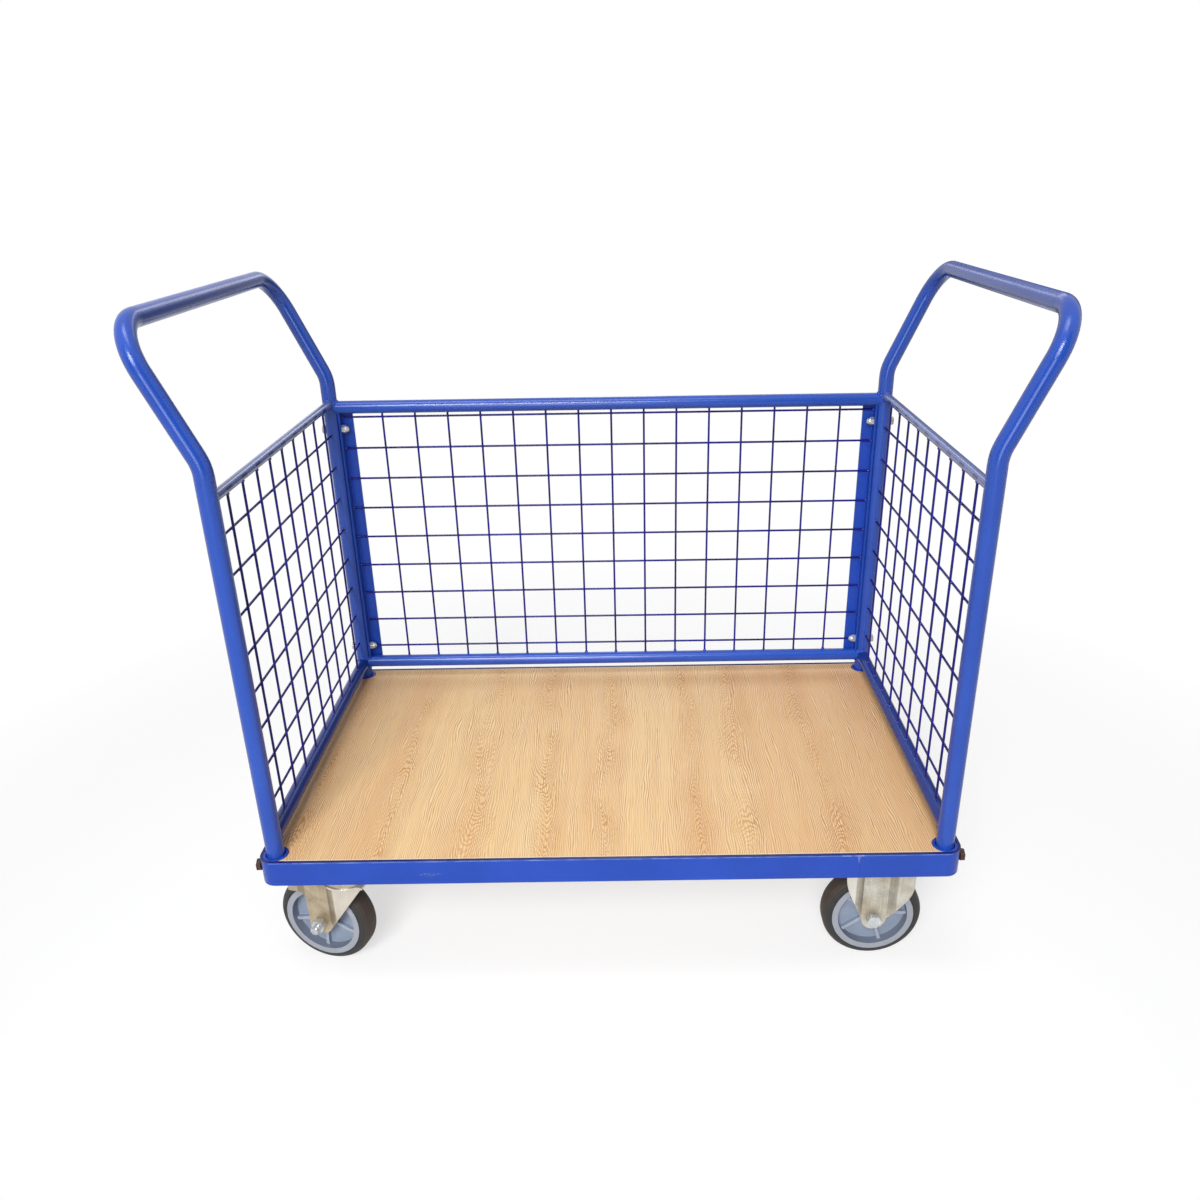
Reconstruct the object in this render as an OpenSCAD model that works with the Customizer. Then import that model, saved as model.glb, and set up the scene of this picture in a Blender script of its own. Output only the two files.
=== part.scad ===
// Platform trolley: a board deck in a steel rim on four castors, with a hoop handle
// and wire mesh at each end and a bolted mesh panel along the back.
// Ground is z = 0, X runs along the platform, Y runs from the open side to the back.

/* [Platform] */
// Length of the platform over the rim
platform_l = 1000; // [800:10:1400]
// Width of the platform over the rim
platform_w = 600; // [500:10:800]
// Height of the rim
rim_h = 40; // [36:1:60]
// Thickness of the rim's steel angle
rim_t = 4; // [3:0.5:6]
// Width of the rim's ledge, measured from its outer face
ledge_w = 22; // [20:1:45]
// Thickness of the deck board
deck_t = 18; // [12:1:20]
// How far the deck board lies below the rim's top edge
deck_drop = 0.5; // [0:0.1:2]
// Gap round the deck board
deck_gap = 1; // [0.5:0.1:3]
// Width of a cross rail under the deck
cross_w = 40; // [25:1:60]
// Wall of a cross rail
cross_t = 3; // [2:0.5:4]
// Gap between a castor's top plate and the cross rail beside it
rail_gap = 5; // [2:1:20]
// Thickness of the corner plates that carry the castors
corner_t = 4; // [3:0.5:6]
// How far a corner plate reaches past its castor's top plate
corner_margin = 10; // [5:1:30]
// Shank diameter of the deck screws
screw_d = 5; // [4:0.5:6]
// Length of the deck screws in the board
screw_l = 12; // [8:1:14]

/* [Handles] */
// Outside diameter of the handle tube
tube_od = 25; // [22:0.5:30]
// Wall of the handle tube
tube_wall = 2; // [1.5:0.25:3]
// Height of the handle's crossbar axis above the rim
handle_rise = 735; // [700:5:900]
// Height above the rim at which the uprights start to lean out
bend_rise = 556; // [545:1:600]
// Angle at which the handle leans out
lean = 24; // [10:1:30]
// Centreline radius of the bend in each upright
bend_r = 60; // [40:5:100]
// Centreline radius of the handle's upper corners
corner_r = 60; // [40:5:100]
// How much thinner the tube is in its bends
bend_thin = 0.1; // [0.05:0.05:0.3]
// Length by which the straight tube laps over a bend
bend_lap = 0.5; // [0.3:0.1:1]

/* [Corner sockets] */
// Radial play of an upright in its socket
socket_play = 1.5; // [0.5:0.25:3]
// Wall of a corner socket
socket_wall = 3.5; // [2.5:0.25:5]
// Shank diameter of a socket's lock bolt
lock_d = 10; // [6:1:10]

/* [End panels] */
// Outside diameter of an end panel's top rail
end_top_od = 14; // [12:0.5:20]
// Outside diameter of an end panel's bottom rail
end_bottom_od = 22; // [16:0.5:25]
// Wall of the rails
rail_wall = 1.5; // [1:0.25:2.5]
// Height of the end top rail's axis above the rim
end_top_rise = 525; // [450:1:535]
// Height of the end bottom rail's axis above the rim
end_bottom_rise = 28; // [20:1:60]
// Spaces between the upright wires of an end panel
end_spaces = 10; // [6:1:14]
// Distance from the end top rail's axis down to the first level wire
end_first_row = 53.5; // [20:0.5:80]
// Spacing of the level wires of an end panel
end_row_pitch = 57; // [40:0.5:80]

/* [Mesh wire] */
// Diameter of the mesh wire
wire_d = 3.6; // [3:0.1:5]
// Depth to which crossing wires are welded into each other
weld_lap = 0.5; // [0.3:0.1:1]

/* [Back panel] */
// Outside diameter of the back panel's tubes
back_od = 22; // [18:0.5:25]
// Distance of the back top tube's axis below the end top rails' axis
back_top_drop = 7; // [0:1:60]
// Height of the back bottom tube's axis above the rim
back_bottom_rise = 29; // [22:1:60]
// Leg of the angle stiles
stile_leg = 21; // [20:1:30]
// Thickness of the angle stiles
stile_t = 3; // [2:0.5:4]
// Distance from the uprights' axis to the back face of the stiles
stile_set = 13.5; // [12.5:0.5:16]
// Spacing of the upright wires of the back panel
back_col_pitch = 56.8; // [40:0.1:80]
// Distance by which the back mesh is set off centre
back_mesh_shift = 6; // [-10:1:10]
// Distance from the back top tube's axis down to the first level wire
back_first_row = 19; // [14:0.5:60]
// Spacing of the level wires of the back panel
back_row_pitch = 55.1; // [40:0.1:80]
// Least distance from a stile to the nearest upright wire
back_col_margin = 20; // [10:1:40]
// Diameter of the panel bolts
panel_bolt_d = 8; // [6:1:8]
// Distance of the upper panel bolts below the back top tube's axis
panel_bolt_drop = 38; // [30:1:45]
// Distance of the lower panel bolts above the back bottom tube's axis
panel_bolt_lift = 33; // [25:1:60]

/* [Castors] */
// Diameter of the wheels
wheel_d = 150; // [125:5:200]
// Width of the tyres
tyre_w = 37; // [32:1:40]
// Radius of a tyre's shoulders
tyre_shoulder = 12; // [4:1:12]
// Thickness of a tyre between its tread and the hub
tyre_t = 13.5; // [13:0.5:20]
// Width of the hub's outer ring
ring_w = 39; // [38:1:41]
// Radial thickness of the hub's outer ring
ring_t = 9; // [6:1:12]
// Length of the hub's boss along the axle
hub_l = 42; // [41:1:70]
// Diameter of the hub's boss
boss_d = 36; // [30:1:44]
// Thickness of the hub's disc
disc_t = 8; // [5:1:14]
// Number of ribs on each side of the hub
ribs = 5; // [4:1:8]
// Thickness of a hub rib
rib_t = 5; // [3:0.5:8]
// Width over the hub's ribs
rib_w = 22; // [16:1:36]
// Diameter of the axle bolts
axle_d = 12; // [8:1:14]
// Outside diameter of the bush in the hub
bush_od = 20; // [17:0.5:26]
// Distance of a castor's axis from the platform's end
castor_inset_x = 104; // [95:1:200]
// Distance from the rim's ledge to a fixed castor's nearest plate bolts
fixed_set = 14.5; // [8:0.5:60]
// Distance from the rim's ledge to a swivel castor's nearest plate bolts
swivel_set = 8.5; // [8:0.5:60]
// Length of a castor's top plate
plate_l = 135; // [125:1:150]
// Width of a castor's top plate
plate_w = 110; // [105:1:120]
// Thickness of a castor's top plate
plate_t = 5; // [4:0.5:8]
// Spacing of the plate bolts along the platform
bolt_pitch_x = 105; // [100:1:110]
// Spacing of the plate bolts across the platform
bolt_pitch_y = 77; // [75:1:85]
// Diameter of the plate bolts
plate_bolt_d = 8; // [6:1:10]
// Length of thread that shows past a plate bolt's nut
thread_show = 2; // [1:0.5:5]
// Thickness of the fork's sheet
fork_t = 3.5; // [3:0.5:5]
// Width of the fold along a fork's edges
fold_w = 13; // [8:1:16]
// How far a fork's edges stand out past its middle panel
fold_h = 4; // [1:0.5:8]
// Reach of a fixed fork's narrow side from its axle
narrow_reach = 46; // [42:1:60]
// Height above the axle at which the narrow side turns upright
narrow_rise = 64; // [50:1:70]
// Reach of a fixed fork's wide side from its axle
wide_reach = 56; // [42:1:62]
// Height above the axle at which the wide side turns upright
wide_rise = 47; // [40:1:70]
// Length over which the sides of a fixed fork are rounded
side_round = 18; // [8:1:20]
// How far a swivel fork's crown reaches in front of its kingpin
crown_front = 39; // [30:1:44]
// How far a swivel fork's shoulder reaches behind its axle
shoulder = 47; // [30:1:60]
// Height of the shoulder's lower edge above the axle
shoulder_rise = 54; // [45:1:65]
// Radius of the corner between the shoulder and the leg
shoulder_r = 12; // [8:1:20]
// Gap between a wheel and the fork's crown
crown_gap = 8; // [5:1:20]
// Height of the swivel head between the crown and the top plate
head_h = 26.5; // [20:0.5:40]
// Diameter of the swivel head's ball race
race_d = 78; // [60:1:84]
// Depth of the groove round the ball race
race_groove = 4; // [2:0.5:8]
// How far the crown stands out past the ball race
crown_lip = 2; // [1:0.5:4]
// Diameter of the kingpin
kingpin_d = 14; // [10:1:18]
// Distance of a swivel castor's axle behind its kingpin
trail = 44; // [30:1:55]
// Angle by which the swivel castors stand turned
swivel_rest = -16; // [-180:1:180]
// Angle by which the swivel wheels stand turned on their axles
swivel_turn = 22; // [0:1:359]
// Angle by which the fixed wheels stand turned on their axles
fixed_turn = 35; // [0:1:359]

/* [Clearances] */
// Radial clearance of a running fit
run_gap = 0.08; // [0.02:0.01:0.1]
// Gap at a welded or seated joint
seat_gap = 0.2; // [0.1:0.05:0.3]
// Radial clearance of a bolt in its hole
bolt_gap = 0.3; // [0.1:0.1:1]
// Gap between pieces that turn past each other
move_gap = 0.4; // [0.3:0.05:1]
// Gap between a hub and the legs of its fork
leg_gap = 0.5; // [0.3:0.1:2]

/* [Hidden] */
$fn = 48;
wire_fn = 16;
blue = "#3a58c4";
zinc = "#b9b3a4";
bright = "#d6d7d6";

// Heights stack up from the ground
axle_z = wheel_d / 2;
crown_z = wheel_d + crown_gap;
head_z = crown_z + fork_t;
plate_z = head_z + head_h;
rim_z = plate_z + plate_t;
ledge_top = rim_z + rim_t;
top_z = rim_z + rim_h;
deck_top = top_z - deck_drop;
deck_z = deck_top - deck_t;
corner_top = rim_z + corner_t;
floor_z = max(ledge_top, corner_top) + seat_gap;

// Uprights stand in sockets in the corners of the rim
tube_r = tube_od / 2;
socket_id = tube_od + 2 * socket_play;
socket_od = socket_id + 2 * socket_wall;
post_inset = socket_od / 2 + seat_gap + rim_t;
post_x = platform_l / 2 - post_inset;
post_y = platform_w / 2 - post_inset;
foot_z = floor_z;
lock_z = rim_z + rim_t + (rim_h - rim_t) / 2;

// Handle hoop
bend_z = top_z + bend_rise;
lean_z = bend_z + bend_r * sin(lean);
lean_x = post_x + bend_r * (1 - cos(lean));
lean_l = (handle_rise - bend_rise - bend_r * sin(lean)) / cos(lean);

// End panels
end_top_z = top_z + end_top_rise;
end_bottom_z = top_z + end_bottom_rise;
wire_off = (wire_d - weld_lap) / 2;
end_wire_z0 = end_bottom_z + end_bottom_od / 2 + seat_gap;
end_wire_z1 = end_top_z - end_top_od / 2 - seat_gap;
end_wire_y = post_y - tube_r - seat_gap;
end_rows = floor((end_top_rise - end_first_row - end_bottom_rise - end_bottom_od) / end_row_pitch) + 1;

// Back panel
back_top_rise = end_top_rise - back_top_drop;
back_top_z = top_z + back_top_rise;
back_bottom_z = top_z + back_bottom_rise;
back_r = back_od / 2;
stile_x = post_x - tube_r - seat_gap;
stile_back = post_y + stile_set;
row_y = stile_back - stile_t - wire_d / 2 - seat_gap / 2;
col_y = row_y - 2 * wire_off;
row_x = stile_x - stile_t - seat_gap;
col_near = col_y - post_y - wire_d / 2;
col_rise = sqrt(back_r * back_r - col_near * col_near) + seat_gap;
back_rows = floor((back_top_rise - back_first_row - back_bottom_rise - back_od) / back_row_pitch) + 1;
col_reach = stile_x - stile_leg - back_col_margin - abs(back_mesh_shift);
col_half = floor(col_reach / back_col_pitch);
panel_bolt_z = [back_bottom_z + panel_bolt_lift, back_top_z - panel_bolt_drop];

// Hexagon heads and nuts follow from the bolt diameter
function hex_af(d) = 1.6 * d;
function hex_d(d) = hex_af(d) / cos(30);
function head_of(d) = 0.65 * d;
function nut_of(d) = 0.8 * d;
function dome_of(d) = 0.72 * d;

// Castors
castor_x = platform_l / 2 - castor_inset_x;
bolt_row_y = platform_w / 2 - ledge_w - bolt_pitch_y / 2;
fixed_y = bolt_row_y - fixed_set;
swivel_y = bolt_row_y - swivel_set;
hub_d = wheel_d - 2 * tyre_t;
leg_in = hub_l / 2 + leg_gap;
leg_out = leg_in + fork_t;
leg_r = 1.55 * axle_d;
crown_x = trail + crown_front;
thread_l = 0.8 * axle_d;

// Plates and rails under the deck
cross_end = castor_x - plate_l / 2 - cross_w / 2 - rail_gap;
cross_places = [-cross_end, 0, cross_end];
cross_z = floor_z;
cross_h = deck_z - seat_gap - cross_z;
cross_l = platform_w - 2 * rim_t - 2 * deck_gap;
screw_y = cross_l / 4;
screw_head_d = 2 * screw_d;
screw_head_h = 0.6 * screw_d;

// Shared shapes

module along_x() { rotate([0, 90, 0]) children(); }

module along_y() { rotate([-90, 0, 0]) children(); }

module at_corners(x, y) {
  for (sx = [-1, 1], sy = [-1, 1]) translate([sx * x, sy * y, 0]) children();
}

module tube(od, wall, l) {
  difference() {
    cylinder(d = od, h = l);
    translate([0, 0, -1]) cylinder(d = od - 2 * wall, h = l + 2);
  }
}

module hexagon(d, h) { cylinder(d = hex_d(d), h = h, $fn = 6); }

module round_rect(l, w, r) {
  square([l - 2 * r, w], center = true);
  square([l, w - 2 * r], center = true);
  at_corners(l / 2 - r, w / 2 - r) circle(r);
}

// Platform

module platform_rim() {
  inner_l = platform_l - 2 * rim_t;
  inner_w = platform_w - 2 * rim_t;
  color(blue) difference() {
    translate([0, 0, rim_z]) linear_extrude(rim_h) round_rect(platform_l, platform_w, post_inset);
    translate([0, 0, ledge_top])
      linear_extrude(rim_h) round_rect(inner_l, inner_w, post_inset - rim_t);
    translate([0, 0, rim_z - 1]) linear_extrude(rim_h)
      square([platform_l - 2 * ledge_w, platform_w - 2 * ledge_w], center = true);
    for (s = [-1, 1], y = [-post_y, post_y])
      translate([s * (platform_l / 2 - rim_t / 2), y, lock_z])
        along_x() cylinder(d = lock_d + 2 * bolt_gap, h = 3 * rim_t, center = true);
  }
}

module deck_board() {
  l = platform_l - 2 * (rim_t + deck_gap);
  w = platform_w - 2 * (rim_t + deck_gap);
  notch = socket_od / 2 + deck_gap;
  color("#e2bd8b") difference() {
    translate([-l / 2, -w / 2, deck_z]) cube([l, w, deck_t]);
    at_corners(post_x, post_y) translate([0, 0, deck_z - 1]) cylinder(r = notch, h = deck_t + 2);
    at_corners(post_x + notch, post_y + notch)
      translate([0, 0, deck_z + deck_t / 2]) cube([2 * notch, 2 * notch, deck_t + 2], center = true);
    at_screws() translate([0, 0, deck_z - 1])
      cylinder(d = screw_d + 2 * run_gap, h = screw_l + 1 + seat_gap);
  }
}

module at_screws() {
  for (x = cross_places, y = [-screw_y, screw_y]) translate([x, y, 0]) children();
}

module cross_rails() {
  inner = cross_w - 2 * cross_t;
  color(blue) for (x = cross_places) difference() {
    translate([x - cross_w / 2, -cross_l / 2, cross_z]) cube([cross_w, cross_l, cross_h]);
    translate([x - inner / 2, -cross_l / 2 - 1, cross_z - cross_t])
      cube([inner, cross_l + 2, cross_h]);
    at_screws() translate([0, 0, cross_z]) cylinder(d = screw_d + 2 * bolt_gap, h = rim_h);
  }
}

module deck_screws() {
  seat = cross_z + cross_h - cross_t;
  color(bright) at_screws() {
    translate([0, 0, seat - screw_head_h]) cylinder(d = screw_head_d, h = screw_head_h);
    translate([0, 0, seat]) cylinder(d = screw_d, h = cross_t + seat_gap + screw_l);
  }
}

module corner_plates() {
  x0 = cross_end;
  x1 = platform_l / 2 - ledge_w - seat_gap;
  y1 = platform_w / 2 - ledge_w - seat_gap;
  color(blue) for (m = [0, 1], sy = [-1, 1]) mirror([m, 0, 0]) {
    y = m == 0 ? fixed_y : swivel_y;
    y0 = y - plate_w / 2 - corner_margin;
    difference() {
      translate([x0, sy > 0 ? y0 : -y1, rim_z]) cube([x1 - x0, y1 - y0, corner_t]);
      translate([castor_x, sy * y, 0]) plate_holes(rim_z - 1, corner_t + 2);
    }
  }
}

module corner_sockets() {
  h = top_z - foot_z;
  color(blue) for (sx = [-1, 1], sy = [-1, 1]) difference() {
    translate([sx * post_x, sy * post_y, foot_z]) tube(socket_od, socket_wall, h);
    translate([sx * (post_x + socket_od / 2), sy * post_y, lock_z])
      along_x() cylinder(d = lock_d + 2 * bolt_gap, h = socket_od, center = true);
  }
}

module socket_lock_bolts() {
  tip = tube_r + seat_gap;
  face = post_inset + seat_gap;
  color("#3a3532") for (s = [-1, 1], y = [-post_y, post_y]) translate([s * post_x, y, lock_z])
    rotate([0, s * 90, 0]) {
      translate([0, 0, tip]) cylinder(d = lock_d, h = face - tip);
      translate([0, 0, face]) hexagon(lock_d, head_of(lock_d));
    }
}

// Handle hoops, drawn for the right end and mirrored for the left.
// Each straight length laps a little over the bends, which are a hair thinner.

module hoop() {
  difference() {
    hoop_core(tube_r, 0);
    hoop_core(tube_r - tube_wall, 1);
    for (z = panel_bolt_z) translate([post_x, post_y, z])
      along_x() cylinder(d = panel_bolt_d + 2 * bolt_gap, h = 2 * tube_od, center = true);
  }
}

module hoop_core(r, below) {
  bar = 2 * (post_y - corner_r + bend_lap);
  for (m = [0, 1]) mirror([0, m, 0]) hoop_side(r, below);
  translate([lean_x, 0, lean_z]) rotate([0, lean, 0]) translate([0, -bar / 2, lean_l])
    along_y() cylinder(r = r, h = bar);
}

module hoop_side(r, below) {
  straight = lean_l - corner_r;
  translate([post_x, -post_y, foot_z - below])
    cylinder(r = r, h = bend_z - foot_z + below + bend_lap);
  translate([post_x + bend_r, -post_y, bend_z])
    rotate([90, 0, 0]) rotate(180 - lean) tube_bend(r, bend_r, lean);
  translate([lean_x, -post_y, lean_z]) rotate([0, lean, 0]) {
    translate([0, 0, -bend_lap]) cylinder(r = r, h = straight + 2 * bend_lap);
    translate([0, corner_r, straight]) rotate([90, 0, 90]) rotate(90) tube_bend(r, corner_r, 90);
  }
}

module tube_bend(r, centre_r, angle) {
  rotate_extrude(angle = angle) translate([centre_r, 0]) circle(r - bend_thin);
}

module right_handle_tube() { color(blue) hoop(); }

module left_handle_tube() { mirror([1, 0, 0]) right_handle_tube(); }

// End panels. The rails are coped to the uprights and to the back tubes beside them.

module end_rail(od, z) {
  color(blue) difference() {
    translate([post_x, -post_y, z]) along_y() tube(od, rail_wall, 2 * post_y);
    for (y = [-post_y, post_y]) translate([post_x, y, z - od])
      cylinder(r = tube_r + seat_gap, h = 2 * od);
    for (back_z = [back_bottom_z, back_top_z]) translate([post_x, post_y, back_z])
      along_x() cylinder(r = back_r + seat_gap, h = 2 * od, center = true);
  }
}

module right_top_rail() { end_rail(end_top_od, end_top_z); }

module left_top_rail() { mirror([1, 0, 0]) right_top_rail(); }

module right_bottom_rail() { end_rail(end_bottom_od, end_bottom_z); }

module left_bottom_rail() { mirror([1, 0, 0]) right_bottom_rail(); }

module right_mesh() {
  pitch = 2 * post_y / end_spaces;
  color(blue) {
    for (i = [1 : end_spaces - 1]) translate([post_x - wire_off, i * pitch - post_y, end_wire_z0])
      cylinder(d = wire_d, h = end_wire_z1 - end_wire_z0, $fn = wire_fn);
    for (i = [0 : end_rows - 1])
      translate([post_x + wire_off, -end_wire_y, end_top_z - end_first_row - i * end_row_pitch])
        along_y() cylinder(d = wire_d, h = 2 * end_wire_y, $fn = wire_fn);
  }
}

module left_mesh() { mirror([1, 0, 0]) right_mesh(); }

// Back panel

module back_tube(z) {
  color(blue) difference() {
    translate([-post_x, post_y, z]) along_x() tube(back_od, rail_wall, 2 * post_x);
    for (x = [-post_x, post_x]) translate([x, post_y, z - back_od])
      cylinder(r = tube_r + seat_gap, h = 2 * back_od);
  }
}

module back_top_tube() { back_tube(back_top_z); }

module back_bottom_tube() { back_tube(back_bottom_z); }

// An angle whose ends are coped to the two tubes
module back_right_stile() {
  color(blue) difference() {
    translate([0, 0, back_bottom_z]) linear_extrude(back_top_z - back_bottom_z) {
      translate([stile_x - stile_leg, stile_back - stile_t]) square([stile_leg, stile_t]);
      translate([stile_x - stile_t, stile_back - stile_leg]) square([stile_t, stile_leg]);
    }
    for (z = [back_bottom_z, back_top_z]) translate([stile_x, post_y, z])
      along_x() cylinder(r = back_r + seat_gap, h = 4 * stile_leg, center = true);
    for (z = panel_bolt_z) translate([stile_x, post_y, z])
      along_x() cylinder(d = panel_bolt_d + 2 * bolt_gap, h = 4 * stile_t, center = true);
  }
}

module back_left_stile() { mirror([1, 0, 0]) back_right_stile(); }

module back_mesh() {
  z0 = back_bottom_z + col_rise;
  z1 = back_top_z - col_rise;
  color(blue) {
    for (i = [-col_half : col_half])
      translate([back_mesh_shift + i * back_col_pitch, col_y, z0])
        cylinder(d = wire_d, h = z1 - z0, $fn = wire_fn);
    for (i = [0 : back_rows - 1])
      translate([-row_x, row_y, back_top_z - back_first_row - i * back_row_pitch])
        along_x() cylinder(d = wire_d, h = 2 * row_x, $fn = wire_fn);
  }
}

module at_panel_bolts() {
  for (m = [0, 1], z = panel_bolt_z) mirror([m, 0, 0]) translate([0, post_y, z]) children();
}

module panel_bolts() {
  head_x = post_x + tube_r + seat_gap;
  end_x = stile_x - stile_t - nut_of(panel_bolt_d);
  color(zinc) at_panel_bolts() {
    translate([head_x, 0, 0]) along_x() hexagon(panel_bolt_d, head_of(panel_bolt_d));
    translate([end_x, 0, 0]) along_x() cylinder(d = panel_bolt_d, h = head_x - end_x);
  }
}

module panel_cap_nuts() {
  d = panel_bolt_d;
  nut = nut_of(d);
  dome_r = dome_of(d);
  color(bright) at_panel_bolts() translate([stile_x - stile_t - seat_gap, 0, 0]) rotate([0, -90, 0])
    difference() {
      union() {
        hexagon(d, nut);
        intersection() {
          translate([0, 0, nut]) sphere(dome_r);
          cylinder(r = dome_r, h = nut + dome_r);
        }
      }
      translate([0, 0, -1]) cylinder(d = d + 2 * run_gap, h = nut + 1);
    }
}

// Castor mountings

module at_castors() {
  for (sy = [-1, 1]) {
    translate([castor_x, sy * fixed_y, 0]) children();
    translate([-castor_x, sy * swivel_y, 0]) children();
  }
}

module plate_holes(z, h) {
  at_corners(bolt_pitch_x / 2, bolt_pitch_y / 2)
    translate([0, 0, z]) cylinder(d = plate_bolt_d + 2 * bolt_gap, h = h);
}

module castor_bolts() {
  top = corner_top + seat_gap + nut_of(plate_bolt_d) + thread_show;
  z = plate_z - seat_gap;
  color(zinc) at_castors() at_corners(bolt_pitch_x / 2, bolt_pitch_y / 2) {
    translate([0, 0, z - head_of(plate_bolt_d)]) hexagon(plate_bolt_d, head_of(plate_bolt_d));
    translate([0, 0, z]) cylinder(d = plate_bolt_d, h = top - z);
  }
}

module castor_nuts() {
  color(zinc) at_castors() at_corners(bolt_pitch_x / 2, bolt_pitch_y / 2)
    translate([0, 0, corner_top + seat_gap]) difference() {
      hexagon(plate_bolt_d, nut_of(plate_bolt_d));
      translate([0, 0, -1]) cylinder(d = plate_bolt_d + 2 * run_gap, h = nut_of(plate_bolt_d) + 2);
    }
}

module castor_plate() {
  difference() {
    translate([-plate_l / 2, -plate_w / 2, plate_z]) cube([plate_l, plate_w, plate_t - seat_gap]);
    plate_holes(plate_z - 1, plate_t + 2);
  }
}

// Wheels turn about Y, centred on the axle

module tyre() {
  r = wheel_d / 2;
  s = tyre_shoulder;
  seat_r = hub_d / 2 + seat_gap;
  color("#2d2724") along_y() rotate_extrude() difference() {
    union() {
      translate([seat_r, -tyre_w / 2]) square([r - s - seat_r, tyre_w]);
      translate([r - s - 1, s - tyre_w / 2]) square([s + 1, tyre_w - 2 * s]);
      for (y = [-1, 1]) translate([r - s, y * (tyre_w / 2 - s)]) circle(s);
    }
    translate([0, -tyre_w]) square([seat_r, 2 * tyre_w]);
  }
}

module hub() {
  disc_r = hub_d / 2 - ring_t;
  color("#7d8897") along_y() difference() {
    union() {
      rotate_extrude() {
        translate([disc_r, -ring_w / 2]) square([ring_t, ring_w]);
        translate([0, -disc_t / 2]) square([disc_r + 1, disc_t]);
        translate([0, -hub_l / 2]) square([boss_d / 2, hub_l]);
      }
      for (i = [0 : ribs - 1]) rotate(i * 360 / ribs)
        translate([0, -rib_t / 2, -rib_w / 2]) cube([disc_r + 1, rib_t, rib_w]);
    }
    cylinder(d = bush_od + 2 * run_gap, h = 2 * hub_l, center = true);
  }
}

module bush() {
  color(bright) along_y() translate([0, 0, -hub_l / 2])
    tube(bush_od, (bush_od - axle_d) / 2 - run_gap, hub_l);
}

module axle_bolt() {
  head_y = leg_out + seat_gap;
  end_y = leg_out + seat_gap + nut_of(axle_d) + thread_l;
  color(bright) along_y() {
    translate([0, 0, -end_y]) cylinder(d = axle_d, h = end_y + head_y);
    translate([0, 0, head_y]) hexagon(axle_d, head_of(axle_d));
  }
}

module axle_nut() {
  color(bright) along_y() translate([0, 0, -leg_out - seat_gap - nut_of(axle_d)]) difference() {
    hexagon(axle_d, nut_of(axle_d));
    translate([0, 0, -1]) cylinder(d = axle_d + 2 * run_gap, h = nut_of(axle_d) + 2);
  }
}

// A fork leg is a sheet whose edges are folded out, cut to an outline that ends round at the axle.
// Sections and outlines have the axle at the origin.

module flange(x) {
  bend = leg_r + fold_w;
  polygon([[leg_r, leg_in], [bend, leg_in + fold_h], [x, leg_in + fold_h], [x, leg_out + fold_h],
    [bend, leg_out + fold_h], [leg_r, leg_out]]);
}

module fixed_section() {
  translate([-leg_r, leg_in]) square([2 * leg_r, fork_t]);
  flange(narrow_reach);
  mirror([1, 0]) flange(wide_reach);
}

module swivel_section() {
  translate([-shoulder, leg_in]) square([shoulder + leg_r, fork_t]);
  flange(crown_x);
}

module fixed_outline(top) {
  circle(leg_r);
  fixed_side(narrow_reach, narrow_rise, top);
  mirror([1, 0]) fixed_side(wide_reach, wide_rise, top);
}

// A slanted edge that turns upright in a wide arc
module fixed_side(reach, rise, top) {
  slant = atan2(reach - leg_r, rise);
  arc_r = side_round / tan(slant / 2);
  arc_z = rise + side_round;
  difference() {
    polygon([[0, 0], [leg_r, 0], [reach, rise], [reach, top], [0, top]]);
    difference() {
      polygon([[reach, arc_z], [reach + 1, arc_z], [reach + 1, rise], [reach, rise - 1],
        [reach - side_round * sin(slant), rise - side_round * cos(slant)]]);
      translate([reach - arc_r, arc_z]) circle(arc_r);
    }
  }
}

function tangent_angle(x, z, r) = atan2(z, x) - acos(r / norm([x, z]));

// A straight slanted front edge, and a shoulder behind the axle
module swivel_outline(top) {
  a = tangent_angle(crown_x, top, leg_r);
  f = shoulder_r;
  circle(leg_r);
  polygon([[-leg_r, 0], [leg_r * cos(a), leg_r * sin(a)], [crown_x, top], [-shoulder, top],
    [-shoulder, shoulder_rise], [-leg_r, shoulder_rise]]);
  difference() {
    translate([-leg_r - f, shoulder_rise - f]) square(f + 1);
    translate([-leg_r - f, shoulder_rise - f]) circle(f);
  }
}

// Pair of legs from a section, which is the first child, and an outline
module fork_legs(top) {
  for (m = [0, 1]) mirror([0, m, 0]) difference() {
    intersection() {
      translate([0, 0, -2 * leg_r]) linear_extrude(top + 2 * leg_r) children(0);
      rotate([90, 0, 0]) linear_extrude(4 * leg_out, center = true) children(1);
    }
    along_y() cylinder(d = axle_d + 2 * bolt_gap, h = 4 * leg_out, center = true);
  }
}

module fixed_fork() {
  top = plate_z - axle_z + 1;
  color(zinc) {
    castor_plate();
    translate([0, 0, axle_z]) fork_legs(top) {
      fixed_section();
      fixed_outline(top);
    }
  }
}

module swivel_fork() {
  top = head_z - axle_z;
  color(zinc) difference() {
    union() {
      translate([-trail, 0, axle_z]) fork_legs(top) {
        swivel_section();
        swivel_outline(top);
      }
      translate([0, 0, crown_z]) linear_extrude(fork_t) {
        circle(d = race_d + 2 * crown_lip);
        translate([-trail, 0]) crown_outline();
      }
    }
    translate([0, 0, crown_z - 1]) cylinder(d = kingpin_d + 2 * run_gap, h = fork_t + 2);
  }
}

module crown_outline() {
  bend = leg_r + fold_w;
  y1 = leg_out + fold_h;
  polygon([[-shoulder, -leg_out], [leg_r, -leg_out], [bend, -y1], [crown_x, -y1], [crown_x, y1],
    [bend, y1], [leg_r, leg_out], [-shoulder, leg_out]]);
}

module swivel_plate() {
  color(zinc) difference() {
    castor_plate();
    translate([0, 0, plate_z - 1]) cylinder(d = kingpin_d + 2 * run_gap, h = plate_t + 2);
  }
}

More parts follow.
